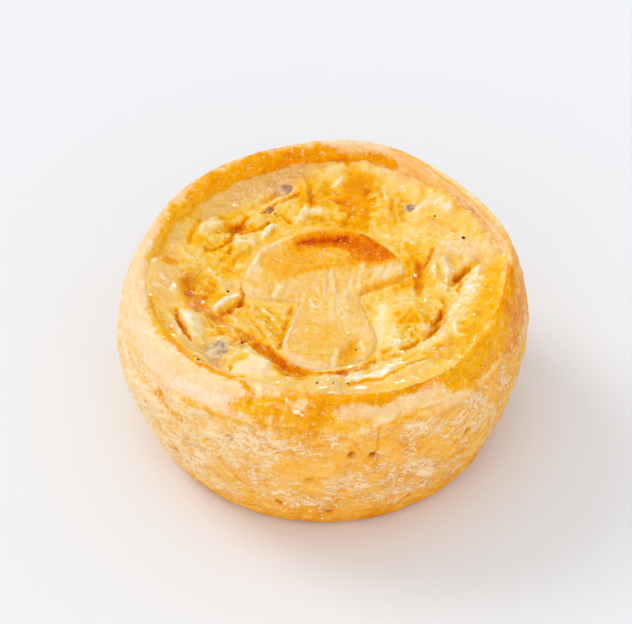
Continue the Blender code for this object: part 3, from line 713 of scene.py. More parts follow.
def makeCustard(look):
    theta = np.linspace(0, math.tau, look["steps"], endpoint=False)
    edge = insideRadius(theta, np.full(theta.shape, look["edgeHeight"]))
    edgeX, edgeY = edge * np.cos(theta), edge * np.sin(theta)
    edgeTop = custardTop(look, edgeX, edgeY)
    across, down, _ = framePlace(edgeX, edgeY, edgeTop)
    pressRoutes(edgeTop, across, down, look["creeps"])
    edgeTop = np.clip(edgeTop + edgeSwell(look, edgeX, edgeY), *look["edgeRange"])
    wall = insideRadius(theta, edgeTop) + look["tuck"]
    share = (np.arange(1, look["rows"] + 1) / look["rows"])[:, None] ** 0.75
    x, y = wall * share * np.cos(theta), wall * share * np.sin(theta)
    base = custardTop(look, x, y)
    across, down, _ = framePlace(x, y, base)
    height = base.copy()
    pressRoutes(height, across, down, look["creeps"])
    height = height + edgeSwell(look, x, y) * smoothStep(0.8, 0.97, share)
    straight = across.copy(), down.copy()
    across, down = looseFrame(x, y, base, 5)
    smooth = np.zeros(x.shape)
    brushPaint(smooth, across, down, look["smooths"])
    rough = 1 - smooth
    pressRoutes(height, across, down, look["relief"])

    ripples = layeredNoise(x, y, 0, 5.0, 2, 16)
    billows = 0.45 - np.abs(layeredNoise(x, y, 3, 2.6, 2, 22))
    fine = layeredNoise(x, y, 0, 1.1, 2, 26)
    wrinkled = 0
    for number, (tall, run, width, reach, *route) in enumerate(look["wrinkles"]):
        place = np.zeros(x.shape)
        brushPaint(place, *straight, [(1, 1, reach, *route)])
        wrinkled = wrinkled + tall * place * wrinkleField(x, y, run, width, 30 + number)
    detail = look["billows"] * billows + look["fineBumps"] * fine + wrinkled
    detail = detail * rough * (1 - look["edgeCalm"] * smoothStep(0.82, 0.98, share))
    height = height + look["ripples"] * ripples * (0.3 + 0.7 * rough) + detail

    cavity = smoothGrid(height, 10) - height
    lowland = smoothGrid(height, 60) - height
    tone = look["plainTone"] + 0.06 * ripples
    brushPaint(tone, across, down, look["tones"], 0.2, 1.7)
    brushPaint(tone, across, down, eggWash)
    wash = np.zeros(x.shape)
    brushPaint(wash, across, down, [(1, *mark[1:]) for mark in eggWash])
    plain = rough * (1 - 0.7 * wash) * (1 - 0.7 * smoothStep(0.8, 0.97, share))
    # creases and hollows are painted deeper orange: partly glaze pooled there, partly painted shade
    creasePoolAndShade = look["foldPoolAndShade"] * np.clip(cavity, -0.35, 0.25)
    tone = tone + (creasePoolAndShade + look["hollowPoolAndShade"] * np.clip(lowland, -0.9, 0.5)) * plain
    height = height + look["edgeLift"] * smoothStep(0.94, 1.0, share)
    deep = look["deepTone"] + look["deepShare"] * (tone - look["deepTone"])
    tone = np.where(tone > look["deepTone"], deep, tone)
    # the custard laps against the pastry mushroom's edge and goes down under it
    inward = mushroomReach(x, y)
    bed = mushroomBed(x, y)
    height = height + 0.85 * (bed + look["lap"] - height) * smoothStep(-look["lapWidth"], -0.2, inward)
    under = smoothStep(0.25, 0.9, inward)
    height = height * (1 - under) + np.minimum(height, bed - look["bedGap"]) * under
    beige = np.zeros(x.shape)
    brushPaint(beige, across, down, look["beiges"])
    beige = beige * (1 - wash)
    rows = np.stack([x, y, np.minimum(height, look["top"])], -1)

    # the side goes down inside the case, out of sight
    sides = []
    for level in look["sideLevels"]:
        sides.append(np.stack([x[-1] * 0.95, y[-1] * 0.95, np.full(look["steps"], level)], -1))
    rows = keepInBox(np.concatenate([rows, np.stack(sides)]))[::-1]
    masks = {}
    for name, mask in (("tone", tone), ("beige", beige), ("smooth", smooth)):
        masks[name] = np.concatenate([mask] + [mask[-1:]] * len(sides))[::-1]
    return ringPiece("custardFilling", rows, masks, custardMaterial(look), ["custard"])


# colours of the custard and of the egg wash by tone
toneStops = [
    (0.0, (254, 240, 214)), (0.12, (252, 228, 176)), (0.25, (252, 214, 128)), (0.38, (253, 200, 82)),
    (0.5, (253, 186, 26)), (0.6, (248, 169, 4)), (0.7, (240, 150, 2)), (0.8, (228, 124, 1)),
    (0.9, (206, 92, 1)), (1.0, (176, 58, 1)),
]


def custardMaterial(look):
    material, tree, shader = startMaterial("bakedCustard")
    place = placeNode(tree)
    blotches, mottles, grains = [noiseNode(tree, place, *noise) for noise in look["noises"]]
    pattern = addUp(tree, 0.0, (blotches, 0.42), (mottles, 0.26), (grains, 0.14))
    rough = mathNode(tree, "MULTIPLY_ADD", maskNode(tree, "smooth"), -0.85, 1.0)
    tone = mathNode(tree, "MULTIPLY_ADD", pattern, rough, maskNode(tree, "tone"))
    custard = rampNode(tree, tone, toneStops)
    beige = rampNode(tree, addUp(tree, 0.5, (mottles, 0.9), (grains, 0.5)), look["beigeStops"])
    patchy = addUp(tree, 1.15, (blotches, 1.3), (mottles, 0.9))
    beigeShare = mathNode(tree, "MULTIPLY", patchy, maskNode(tree, "beige"))
    colour = mixNode(tree, beigeShare, custard, beige)
    relief = mathNode(tree, "MULTIPLY", addUp(tree, mottles, (grains, 0.35), (blotches, 0.8)), rough)
    finishSurface(tree, shader, look, gleam(tree, colour, place, look["gleamStart"]), relief)
    glaze(tree, shader, place, look["wetness"])
    return material


# Pastry case. Its marks end with their routes in the picture's pixels too.

caseLook = {
    "steps": 700,
    "profileStep": 0.46,
    "cragSize": 0.42,
    "cragCell": 5.5,
    "plateSize": 0.22,
    "plateCell": 4.2,
    "plateFlatness": 3.2,
    "pitSize": 0.34,
    "prickRadius": 1.1,
    "prickDepth": 1.6,
    "prickLip": 0.12,
    # direction in degrees, height
    "pricks": [
        (212, 30), (221, 17), (233, 26), (243, 35), (256, 12), (265, 24), (271, 8), (277, 33.5), (283, 33),
        (296, 10), (303, 21), (313, 29), (327, 18), (342, 27), (355, 14), (12, 25), (35, 15), (58, 30),
        (84, 20), (107, 32), (131, 14), (152, 26), (176, 19), (194, 31),
    ],
    "bandWidth": 10.6,
    "bandWander": 1.3,
    "bandNarrower": 2.4,          # at the back
    "bandStep": 0.28,
    "bandBumps": 0.1,
    # start, end and softness of each side, as directions in degrees
    "backSide": (330, 130, 30),
    "leftSide": (150, 245, 30),
    "stepSide": (150, 335, 14),
    "paleSide": (95, 250, 20),
    "wallBake": 0.57,
    "rimBake": 0.32,
    "washTone": 0.64,
    "girthRadius": 45.0,
    "footShare": 0.97,
    "roughness": 0.36,
    "shine": 0.0,
    "bump": (0.5, 0.7),
    "flesh": (0.08, (1.0, 0.5, 0.2)),
    "gleamStart": 0.66,
    "wetness": 0.45,
    "dryGlaze": 0.03,
    # noises of the colour: size, detail, roughness, distortion
    "noises": [(5.0, 4, 0.6, 0.6), (1.6, 5, 0.65, 0.8), (0.5, 3, 0.6, 0.0)],
    # films, chips, streaks and fringes: stretch along the girth and the profile, then the same
    "girthNoises": [
        ((1, 1, 1.4), 2.4, 10, 0.74, 1.4), ((1, 1, 1.4), 0.9, 6, 0.7, 0.8),
        ((0.35, 0.35, 1.6), 1.4, 6, 0.66, 0.6), ((1.8, 1.8, 0.6), 1.3, 5, 0.66, 0.8),
    ],
    "crustStops": [
        (0.05, (255, 238, 206)), (0.22, (255, 222, 170)), (0.38, (255, 206, 126)), (0.52, (254, 188, 78)),
        (0.66, (248, 166, 40)), (0.8, (234, 144, 20)), (1.0, (196, 104, 10)),
    ],
    "filmStops": [(0.3, (255, 224, 174)), (0.7, (255, 243, 218))],
    "flourStops": [
        (0.1, (240, 186, 126)), (0.28, (246, 202, 152)), (0.45, (253, 226, 196)), (0.65, (255, 242, 226)),
    ],
    # height, half width, then the route
    "relief": [
        (-0.5, 1.3, 380, 428, 378, 450, 376, 474), (0.4, 2.5, 378, 422, 408, 409, 442, 396),
        (-0.4, 1.3, 378, 428, 408, 415, 442, 402), (0.3, 1.6, 245, 385, 252, 394, 246, 403),
        (-0.3, 1.2, 241, 384, 247, 394, 241, 402),
        (-0.25, 1.2, 385, 145, 420, 161, 450, 184, 480, 210, 504, 238),
        (-0.25, 1.2, 392, 153, 424, 170, 454, 195, 484, 222, 503, 246), (0.4, 3, 418, 392, 438, 384),
        (-0.35, 2, 441, 374, 449, 382, 448, 392), (-0.5, 2.2, 325, 455, 328, 462),
        (0.3, 2.5, 320, 468, 330, 470), (-0.3, 1.6, 152, 235, 163, 218, 180, 200),
        (0.3, 3, 185, 385, 225, 400),
    ],
    # egg wash on the rim alone: tone, strength, half width, then the route
    "washes": [
        (0.52, 0.55, 6, 268, 395, 300, 394, 325, 392), (0.56, 0.8, 3, 262, 399, 285, 401, 300, 397),
        (0.66, 0.95, 6, 448, 373, 430, 379, 412, 386), (0.68, 0.95, 6, 410, 386, 396, 394, 380, 399),
        (0.68, 0.95, 7, 378, 397, 355, 397, 335, 401), (0.6, 0.9, 8, 372, 390, 350, 391, 330, 394),
        (0.64, 0.8, 9, 318, 400, 325, 412, 308, 416), (0.64, 0.7, 8, 290, 422, 318, 424),
        (0.62, 0.85, 7, 288, 397, 293, 389), (0.6, 0.7, 9, 285, 411, 258, 414),
        (0.62, 0.5, 7, 258, 428, 285, 431, 312, 430), (0.54, 0.8, 7, 236, 407, 258, 405),
        (0.64, 0.6, 2.4, 240, 382, 248, 390, 244, 399), (0.64, 0.6, 2.2, 246, 384, 253, 393, 249, 402),
        (0.52, 0.6, 9, 335, 425, 365, 421), (0.57, 0.9, 10, 496, 268, 502, 290, 500, 312),
        (0.74, 1, 10, 513, 278, 513, 305, 508, 326, 500, 344), (0.7, 1, 8, 508, 282, 506, 310),
        (0.58, 0.9, 12, 498, 328, 484, 345, 466, 360), (0.6, 0.85, 8, 482, 362, 466, 373, 450, 380),
        (0.56, 0.7, 7, 450, 384, 470, 385), (0.62, 0.6, 3.5, 516, 250, 519, 275, 518, 290),
        (0.54, 0.6, 3, 184, 399, 205, 410, 240, 422), (0.58, 0.6, 3.5, 158, 392, 168, 408, 178, 418),
        (0.56, 0.6, 5, 398, 421, 425, 412), (0.66, 0.7, 3, 505, 345, 490, 362, 470, 378),
    ],
    # floury, pinkish places of the rim: target, strength, half width, then the route
    "pales": [
        (0.5, 0.7, 7, 418, 394, 436, 385), (0.42, 0.7, 6, 385, 412, 400, 405),
        (0.58, 0.75, 8, 345, 413, 371, 411), (0.42, 0.8, 9, 262, 391, 290, 391, 318, 389),
        (0.9, 0.8, 7, 180, 383, 205, 395, 225, 402), (0.6, 0.7, 6, 225, 412, 240, 414),
        (0.8, 0.8, 6, 494, 232, 502, 248, 503, 262), (0.7, 0.7, 7, 445, 190, 475, 212, 490, 232),
        (0.6, 0.6, 5, 380, 148, 400, 156, 430, 175), (0.7, 0.7, 8, 140, 330, 150, 362, 168, 385),
        (0.5, 0.6, 8, 470, 395, 440, 410), (0.5, 0.6, 6, 300, 403, 285, 403),
        (0.8, 0.9, 5, 325, 141, 360, 142, 385, 147),
    ],
    # places with many or few pale flakes: target, strength, half width, then the route
    "flakes": [
        (0.1, 0.9, 15, 285, 465, 325, 476), (0.15, 0.8, 9, 345, 460, 362, 464),
        (0.1, 0.9, 11, 386, 447, 398, 452), (0.1, 0.9, 10, 432, 444, 448, 450),
        (0.15, 0.8, 9, 345, 448, 352, 452), (0.95, 0.9, 13, 248, 435, 275, 452),
        (0.9, 0.8, 9, 330, 485, 362, 482), (0.95, 0.8, 10, 412, 460, 425, 468),
        (0.9, 0.8, 9, 410, 432, 440, 425), (0.9, 0.8, 10, 460, 425, 485, 410),
        (0.05, 0.8, 8, 250, 500, 300, 515, 350, 520), (0.9, 0.7, 12, 150, 440, 175, 470),
        (0.2, 0.7, 10, 215, 470, 240, 480), (0.8, 0.6, 9, 200, 440, 225, 455),
    ],
    # baked darker or paler places, and painted shade along the crack and under the ledge: target, strength,
    # half width, then the route
    "bakesAndShades": [
        (0.66, 0.8, 1.6, 385, 145, 420, 161, 450, 184, 480, 210, 504, 238),
        (0.6, 0.6, 1.6, 392, 153, 424, 170, 454, 195, 484, 222, 503, 246),
        (0.62, 0.6, 3, 505, 235, 514, 258, 518, 285), (0.56, 0.5, 2, 330, 142, 360, 142, 385, 145),
        (0.5, 0.5, 1.6, 163, 212, 185, 192, 215, 172), (0.52, 0.6, 6, 404, 160, 425, 180, 415, 188),
        # painted shade in the crack and under the ledge
        (0.72, 0.9, 1.3, 380, 428, 378, 450, 376, 474), (0.62, 0.8, 1.3, 378, 428, 408, 415, 442, 402),
        (0.5, 0.7, 15, 280, 470, 325, 478), (0.52, 0.6, 9, 345, 462, 360, 466),
        (0.48, 0.7, 10, 388, 448, 396, 452), (0.5, 0.7, 9, 432, 446, 448, 450),
        (0.5, 0.6, 10, 250, 460, 280, 462), (0.62, 0.7, 5, 440, 490, 400, 506),
    ],
}


def smoothProfile(look):
    # the profile as even steps: out, height, share inside, and distance from the crest
    rows = [(out, height, 0.0) for out, height in caseShape["outside"]]
    rows += [(out, height, 1.0) for out, height in caseShape["inside"]]
    rows = np.array(rows)
    run = np.concatenate([[0], np.cumsum(np.hypot(np.diff(rows[:, 0]), np.diff(rows[:, 1])))])
    at = np.linspace(0, run[-1], int(run[-1] / look["profileStep"]))
    fine = np.stack([np.interp(at, run, rows[:, k]) for k in range(3)], 1)
    for _ in range(8):
        fine[2:-1] = (fine[1:-2] + 2 * fine[2:-1] + fine[3:]) / 4
    crest = at[np.argmax(fine[:, 1])]
    return fine, at - crest


def makeCase(look):
    profile, fromCrest = smoothProfile(look)
    theta = np.linspace(0, math.tau, look["steps"], endpoint=False)[None, :]
    out, level, inside = [profile[:, k][:, None] for k in range(3)]
    radius, height = casePoint(theta, out, level, inside)
    height = height + 0 * theta
    x, y = radius * np.cos(theta), radius * np.sin(theta)
    rows = np.stack([x, y, height], -1)
    inward = fromCrest[:, None] + 0 * theta       # negative outside the crest, positive inside
    normals = gridNormals(rows)
    across, down = looseFrame(x, y, height, 12, 1.3)
    seen = smoothStep(-0.12, 0.04, normals @ framePlace(0, 0, 0)[2])

    # the rolled band of the rim ends in a step, and the wall below it is flaky
    wander = look["bandWander"] * softNoise(3 * np.cos(theta), 3 * np.sin(theta), 0, 0.8, 3)
    narrower = look["bandNarrower"] * arcMask(theta, *look["backSide"])
    below = -inward - look["bandWidth"] - wander + narrower
    rough = smoothStep(-0.7, 0.7, below + 0.8 * layeredNoise(x, y, height, 2.4, 2, 9))
    rough = rough * smoothStep(0.3, 4.5, height)
    crags = layeredNoise(x, y, height * 1.6, look["cragCell"], 2, 11)
    drift = 2.5 * softNoise(x, y, height, 9.0, 20) + 0.35 * x
    flat = (height + drift) * look["plateFlatness"]
    plates = layeredNoise(x, y, flat, look["plateCell"], 3, 14)
    plateMask = smoothStep(-0.05, 0.22, plates)
    small = layeredNoise(x, y, flat, look["plateCell"] * 0.38, 2, 24)
    smallMask = smoothStep(0.1, 0.4, small)
    pits = smoothStep(0.5, 0.85, softNoise(x, y, height * 1.5, 1.9, 30))
    lift = look["cragSize"] * (crags - 0.2) * (0.3 + 0.7 * rough)
    lift = lift + rough * look["plateSize"] * (0.7 * plateMask + 0.4 * smallMask - 0.6)
    lift = lift - rough * look["pitSize"] * pits
    step = look["bandStep"] * (1 - smoothStep(-0.3, 0.3, below)) * smoothStep(-7, -0.5, below)
    lift = lift + step * arcMask(theta, *look["stepSide"])
    lift = lift + (1 - rough) * look["bandBumps"] * layeredNoise(x, y, height, 1.8, 2, 40)
    marks = np.zeros(x.shape)
    pressRoutes(marks, across, down, look["relief"])
    lift = lift + marks * seen

    # pricked holes, each with a slightly raised lip
    hollow = np.zeros_like(x)
    for direction, at in look["pricks"]:
        turned = math.radians(direction)
        outAt = np.interp(at, [p[1] for p in caseShape["outside"]], [p[0] for p in caseShape["outside"]])
        holeRadius, holeHeight = casePoint(turned, outAt, at, 0.0)
        around = np.radians(angleGap(theta, direction)) * holeRadius
        distance = np.hypot(around, (height - holeHeight) * 1.15) / look["prickRadius"]
        inHole = (1 - smoothStep(0.35, 1.25, distance)) * (inward < 0)
        lip = look["prickLip"] * np.exp(-(((distance - 1.5) / 0.35) ** 2))
        lift = lift - look["prickDepth"] * inHole + lip
        hollow = np.maximum(hollow, inHole)
    rows = keepInBox(rows + normals * lift[..., None])

    # baking and painted light, 0 pale dough to 1 dark: pits, pricked holes, the crack and the ledge get
    # painted shade, and the left side, where the light falls, is painted paler; pale: floury and pink,
    # flaky: covered by thin pale flakes
    patches = layeredNoise(x, y, height * 1.3, 9.0, 3, 44)
    fine = layeredNoise(x, y, height, 2.6, 3, 48)
    left = arcMask(theta, *look["leftSide"])
    # painted light and shade: the left side, where the light falls, is paler on the wall and the rim, and
    # pits and pricked holes are darker
    bakeAndShade = look["wallBake"] + 0.12 * patches + 0.13 * smoothStep(13, 1, height) - 0.13 * left
    bakeAndShade = bakeAndShade - rough * (0.08 * plateMask + 0.06 * smallMask - 0.07) + 0.1 * pits * rough + 0.6 * hollow
    rim = 1 - smoothStep(-2.5, 1.2, below + 0.8 * fine)
    streak = layeredNoise(0.4 * x, 0.4 * y, 3.0 * inward, 1.5, 3, 52)
    bakeAndShade = bakeAndShade * (1 - rim) + rim * (look["rimBake"] + 0.14 * fine + 0.04 * streak - 0.08 * left)
    bakeAndShade = bakeAndShade + 0.06 * smoothStep(2.0, 4.0, inward)
    flaky = (0.5 + 0.5 * patches + 0.4 * left) * (1 - 0.8 * rim) * smoothStep(2.0, 12.0, height)
    paintedFlaky, paintedBakeAndShade = flaky.copy(), bakeAndShade.copy()
    brushPaint(paintedBakeAndShade, across, down, look["bakesAndShades"])
    brushPaint(paintedFlaky, across, down, look["flakes"])
    bakeAndShade = bakeAndShade + (paintedBakeAndShade - bakeAndShade) * seen
    flaky = flaky + (paintedFlaky - flaky) * seen
    pale = rim * (0.24 + 0.25 * arcMask(theta, *look["paleSide"]) + 0.25 * streak)
    paintedPale = np.zeros(x.shape)
    brushPaint(paintedPale, across, down, look["pales"], 0.2, 1.7)
    paintedPale = paintedPale * seen
    pale = pale + (1 - pale) * paintedPale
    wash, tone = np.zeros(x.shape), np.full(x.shape, look["washTone"])
    allWashes = eggWash + look["washes"]
    brushPaint(wash, across, down, [(1, *mark[1:]) for mark in allWashes], 0.1, 2.2)
    brushPaint(tone, across, down, [(mark[0], 1, mark[2] * 1.3, *mark[3:]) for mark in allWashes])
    wash = wash * seen * (1 - 0.8 * paintedPale)
    tone = tone + 0.05 * fine + 0.05 * streak
    unrolled = look["girthRadius"] * np.stack([np.cos(theta) + 0 * x, np.sin(theta) + 0 * x])
    unrolled = np.stack([*unrolled, inward], -1) * mm
    masks = {"bakeAndShade": bakeAndShade, "pale": np.clip(pale, 0, 1), "wash": wash, "tone": tone,
             "rough": rough, "flaky": flaky, "unrolled": unrolled}
    bottom = rows[0] * [look["footShare"], look["footShare"], 1.0]
    rows = np.concatenate([bottom[None], rows])
    masks = {name: np.concatenate([mask[:1], mask]) for name, mask in masks.items()}
    return ringPiece("pastryCase", rows, masks, caseMaterial(look), ["pastry_case"])


def unrolledNode(tree, stretch):
    # places along the girth and along the profile, stretched
    attribute = tree.nodes.new("ShaderNodeAttribute")
    attribute.attribute_name = "unrolled"
    mapping = tree.nodes.new("ShaderNodeMapping")
    mapping.inputs["Scale"].default_value = stretch
    tree.links.new(attribute.outputs["Vector"], mapping.inputs["Vector"])
    return mapping.outputs[0]


def caseMaterial(look):
    material, tree, shader = startMaterial("bakedPastry")
    place = placeNode(tree)
    films, chips, streaks, fringes = [
        noiseNode(tree, unrolledNode(tree, stretch), *noise) for stretch, *noise in look["girthNoises"]
    ]
    blotches, mottles, grains = [noiseNode(tree, place, *noise) for noise in look["noises"]]
    rough = maskNode(tree, "rough")
    bakeAndShade = maskNode(tree, "bakeAndShade")
    bakeAndShade = addUp(tree, bakeAndShade, (blotches, 0.4), (mottles, 0.4), (grains, 0.2), (streaks, 0.12))
    crust = rampNode(tree, bakeAndShade, look["crustStops"])
    # thin pale flakes lie over the golden crust
    flaky = maskNode(tree, "flaky")
    filmShare = shareNode(tree, addUp(tree, films, (flaky, 0.16)), 0.51, 0.58)
    chipShare = shareNode(tree, addUp(tree, chips, (flaky, 0.12)), 0.56, 0.62)
    filmColour = rampNode(tree, mottles, look["filmStops"])
    filmShare = mathNode(tree, "MULTIPLY", filmShare, 0.9)
    chipShare = mathNode(tree, "MULTIPLY", chipShare, 0.85)
    flakeShare = mathNode(tree, "MAXIMUM", filmShare, chipShare)
    flakeShare = mathNode(tree, "MULTIPLY", flakeShare, mathNode(tree, "MULTIPLY_ADD", rough, 0.7, 0.1))
    crust = mixNode(tree, flakeShare, crust, filmColour)
    # floury places and egg wash
    floury = mathNode(tree, "MULTIPLY", maskNode(tree, "pale"), 0.5)
    paleColour = rampNode(tree, addUp(tree, floury, (mottles, 0.6), (grains, 0.6)), look["flourStops"])
    paleShare = addUp(tree, maskNode(tree, "pale"), (streaks, 0.4), (mottles, 0.8), (grains, 0.3))
    paleShare = shareNode(tree, paleShare, 0.2, 0.75)
    colour = mixNode(tree, mathNode(tree, "MULTIPLY", paleShare, 0.85), crust, paleColour)
    washed = maskNode(tree, "wash")
    washed = addUp(tree, washed, (fringes, 1.1), (mottles, 1.4), (blotches, 0.9), (grains, 0.4))
    washTone = maskNode(tree, "tone")
    washTone = addUp(tree, washTone, (blotches, 0.36), (mottles, 0.3), (fringes, 0.16), (grains, 0.14))
    washColour = rampNode(tree, washTone, toneStops)
    washShare = shareNode(tree, washed, 0.18, 0.72)
    washColour = gleam(tree, washColour, place, look["gleamStart"])
    colour = mixNode(tree, washShare, colour, washColour)
    relief = addUp(tree, mottles, (grains, 0.4), (flakeShare, 0.2), (streaks, 0.15), (films, 0.2))
    finishSurface(tree, shader, look, colour, relief)
    wet = mathNode(tree, "MAXIMUM", washShare, maskNode(tree, "pale"))
    glaze(tree, shader, place, mathNode(tree, "MULTIPLY_ADD", wet, look["wetness"], look["dryGlaze"]))
    return material


# Pastry mushroom

mushroomLook = {
    "middle": (0.8, 3.0),
    "thickness": 2.8,
    "bed": 39.7,
    "sag": 0.0016,
    "capHalfWidth": 21.2,
    "capTop": 19.6,
    "capUnderside": 4.9,
    "capTurn": 9.0,
    "capEnds": (-68, 248),        # directions where the cap's outline meets the stem, in degrees
    "capCorners": (0.9, 0.95),
    "stemHalfWidth": 7.4,
    "stemTop": -3.4,
    "stemLength": 16.5,
    "footHalfWidth": 12.0,
    "footY": -30.2,
    "footTilt": 1.7,
    "steps": 460,
    "rings": 110,
    "edgeRound": 1.6,
    "streaks": 0.12,
    "pimples": 0.22,
    "swells": 0.22,
    "plainTone": 0.4,
    "edgePaler": 0.12,
    "roughness": 0.32,
    "shine": 0.0,
    "bump": (0.4, 0.7),
    "flesh": (0.08, (1.0, 0.5, 0.2)),
    "gleamStart": 0.67,
    "wetness": 0.5,
    # noises of the colour: size, detail, roughness, distortion
    "noises": [(2.2, 5, 0.65, 0.8), (1.0, 5, 0.65, 1.2), (0.6, 3, 0.6, 0.0)],
    "stops": [
        (0.0, (254, 240, 220)), (0.14, (250, 224, 178)), (0.3, (246, 204, 128)), (0.42, (246, 190, 84)),
        (0.54, (248, 174, 26)), (0.66, (242, 150, 4)), (0.78, (232, 120, 1)), (0.9, (214, 88, 1)),
        (1.0, (190, 60, 1)),
    ],
    # x, y, half length, half width, turn, height
    "folds": [
        (2, 21.5, 17, 2.6, -4, 1.1), (4, 16.6, 10, 1.8, -8, -1), (-6, 6, 9, 6, 10, 0.5),
        (1, -17, 6, 9, 0, 0.4), (7.5, -24.5, 4.6, 2.8, 55, -0.9),
    ],
    # height, half width, then the route in the picture's pixels
    "relief": [
        (-0.5, 4, 300, 243, 320, 240, 348, 241, 374, 246), (0.4, 5, 300, 231, 345, 228, 384, 240),
        (-0.7, 1.9, 243, 298, 262, 303, 285, 305, 300, 303), (-0.6, 1.7, 358, 293, 385, 284, 408, 276),
        (0.5, 2.2, 246, 293, 262, 298, 285, 300), (0.4, 2.2, 364, 287, 385, 279, 402, 272),
        (-0.3, 1.4, 362, 299, 388, 292, 406, 284), (0.5, 2.6, 250, 270, 262, 251, 281, 238, 300, 231),
        (-0.3, 3, 262, 262, 285, 246, 300, 242), (0.3, 1.4, 300, 304, 292, 325, 286, 345),
        (0.35, 2, 286, 352, 300, 361, 330, 366), (-0.35, 1.5, 316, 266, 318, 285),
        (-0.35, 1.5, 329, 268, 328, 296), (-0.3, 1.5, 336, 270, 341, 300), (-0.3, 1.5, 352, 270, 350, 296),
        (0.22, 1.8, 325, 275, 324, 296), (0.22, 1.8, 332, 272, 335, 292, 333, 315),
        (0.22, 1.8, 345, 280, 345, 318), (0.25, 2, 360, 266, 359, 290), (0.3, 1.6, 372, 268, 366, 282),
        (0.3, 1.6, 384, 264, 378, 278), (0.25, 1.5, 394, 262, 390, 274), (-0.5, 5, 356, 344, 345, 358),
        (0.3, 2, 270, 285, 266, 297), (0.3, 2, 285, 282, 280, 296),
    ],
    # 0 pale, 0.5 golden, 1 burnt: tone, strength, half width, then the route
    # The thin pale strokes on the stem and the cap's right end are painted highlights.
    "tones": [
        (0.16, 0.9, 3, 250, 272, 261, 252, 280, 238, 300, 231, 322, 227),
        (0.55, 0.95, 6, 325, 229, 345, 228, 365, 230, 385, 240),
        (0.6, 0.9, 5, 300, 234, 330, 233, 360, 234), (0.76, 0.95, 7, 300, 243, 325, 242, 350, 242),
        (0.84, 0.95, 10, 352, 247, 372, 248, 388, 254), (0.78, 0.9, 8, 352, 256, 375, 259, 400, 262),
        (0.96, 0.95, 2.6, 300, 243, 312, 241, 330, 239, 346, 238),
        (0.9, 0.9, 2, 362, 235, 372, 241, 377, 246), (0.66, 0.7, 6, 290, 248, 300, 250),
        (0.6, 0.75, 9, 272, 262, 292, 263, 312, 260), (0.58, 0.7, 5, 280, 276, 295, 272, 305, 268),
        (0.64, 0.7, 2, 300, 272, 312, 268, 326, 267), (0.56, 0.7, 7, 330, 260, 350, 262),
        (0.28, 0.7, 6, 256, 272, 252, 288, 260, 296), (0.6, 0.6, 3, 252, 282, 256, 285),
        (0.3, 0.7, 7, 285, 288, 300, 285), (0.08, 0.85, 2.2, 274, 296, 278, 286),
        (0.3, 0.6, 2, 336, 250, 348, 254), (0.3, 0.5, 1.5, 330, 256, 345, 258),
        (0.2, 0.85, 7, 380, 272, 402, 266), (0.14, 0.5, 1.8, 372, 280, 380, 268),
        (0.14, 0.5, 1.8, 384, 278, 390, 268), (0.12, 0.6, 2.4, 358, 288, 361, 272, 363, 264),
        (0.64, 0.95, 1.8, 243, 298, 262, 303, 285, 305, 299, 303),
        (0.28, 0.8, 1.6, 250, 303, 270, 308, 290, 309), (0.62, 0.95, 1.8, 360, 293, 385, 284, 405, 275),
        (0.26, 0.8, 1.6, 362, 297, 385, 290, 404, 282), (0.66, 0.9, 2, 366, 301, 388, 294, 408, 286),
        (0.18, 0.6, 3, 327, 278, 325, 296), (0.18, 0.5, 3, 331, 272, 334, 290),
        (0.16, 0.6, 2.6, 339, 296, 338, 312), (0.16, 0.6, 3, 332, 300, 331, 316),
        (0.16, 0.6, 3, 346, 294, 345, 318), (0.14, 0.6, 1.8, 315, 280, 318, 292),
        (0.12, 0.6, 1.7, 304, 294, 303, 300), (0.08, 0.7, 1.5, 311, 300, 311, 305, 315, 307),
        (0.14, 0.6, 1.8, 352, 275, 349, 290), (0.47, 0.7, 8, 308, 322, 312, 345),
        (0.5, 0.6, 7, 325, 335, 322, 350), (0.14, 0.9, 2.4, 299, 306, 291, 325, 284, 345),
        (0.22, 0.8, 3, 284, 350, 290, 358, 312, 366, 334, 369), (0.56, 0.95, 7, 350, 348, 344, 358),
        (0.56, 0.9, 5, 356, 342, 345, 364), (0.14, 0.8, 2, 360, 342, 364, 350),
        (0.16, 0.8, 2.2, 336, 350, 333, 365), (0.26, 0.7, 5, 365, 325, 368, 335),
        (0.3, 0.7, 6, 350, 322, 352, 332),
    ],
}


def mushroomEdge(look):
    # the outline, anticlockwise, as evenly spread points
    points = []
    turn = math.radians(look["capTurn"])
    wideCorner, tallCorner = look["capCorners"]
    for angle in np.linspace(*np.radians(look["capEnds"]), 200):
        tall = look["capTop"] if math.sin(angle) > 0 else look["capUnderside"]
        x = look["capHalfWidth"] * math.copysign(abs(math.cos(angle)) ** wideCorner, math.cos(angle))
        y = tall * math.copysign(abs(math.sin(angle)) ** tallCorner, math.sin(angle)) + 1.0
        points.append((x * math.cos(turn) - y * math.sin(turn), x * math.sin(turn) + y * math.cos(turn)))
    foot = []
    for share in np.linspace(0, 1, 30)[1:]:
        flare = look["stemHalfWidth"] + (look["footHalfWidth"] - look["stemHalfWidth"]) * share**1.2
        foot.append((flare, look["stemTop"] - look["stemLength"] * share))
    widest = look["stemTop"] - look["stemLength"]
    for angle in np.linspace(0, math.pi / 2, 24)[1:]:
        along = widest + (look["footY"] - widest) * math.sin(angle)
        foot.append((look["footHalfWidth"] * math.cos(angle) ** 0.8, along))
    points += [(1.0 - x, y - look["footTilt"]) for x, y in foot[:-1]]
    points += [(1.0 + x, y) for x, y in reversed(foot)]
    closed = np.array(points + points[:1])
    run = np.concatenate([[0], np.cumsum(np.linalg.norm(np.diff(closed, axis=0), axis=1))])
    at = np.linspace(0, run[-1], look["steps"], endpoint=False)
    edge = np.stack([np.interp(at, run, closed[:, k]) for k in (0, 1)], 1)
    for _ in range(40):
        edge = (np.roll(edge, 1, 0) + 2 * edge + np.roll(edge, -1, 0)) / 4
    return edge


def mushroomBed(x, y):
    return mushroomLook["bed"] + mushroomLook["sag"] * (x**2 + y**2)


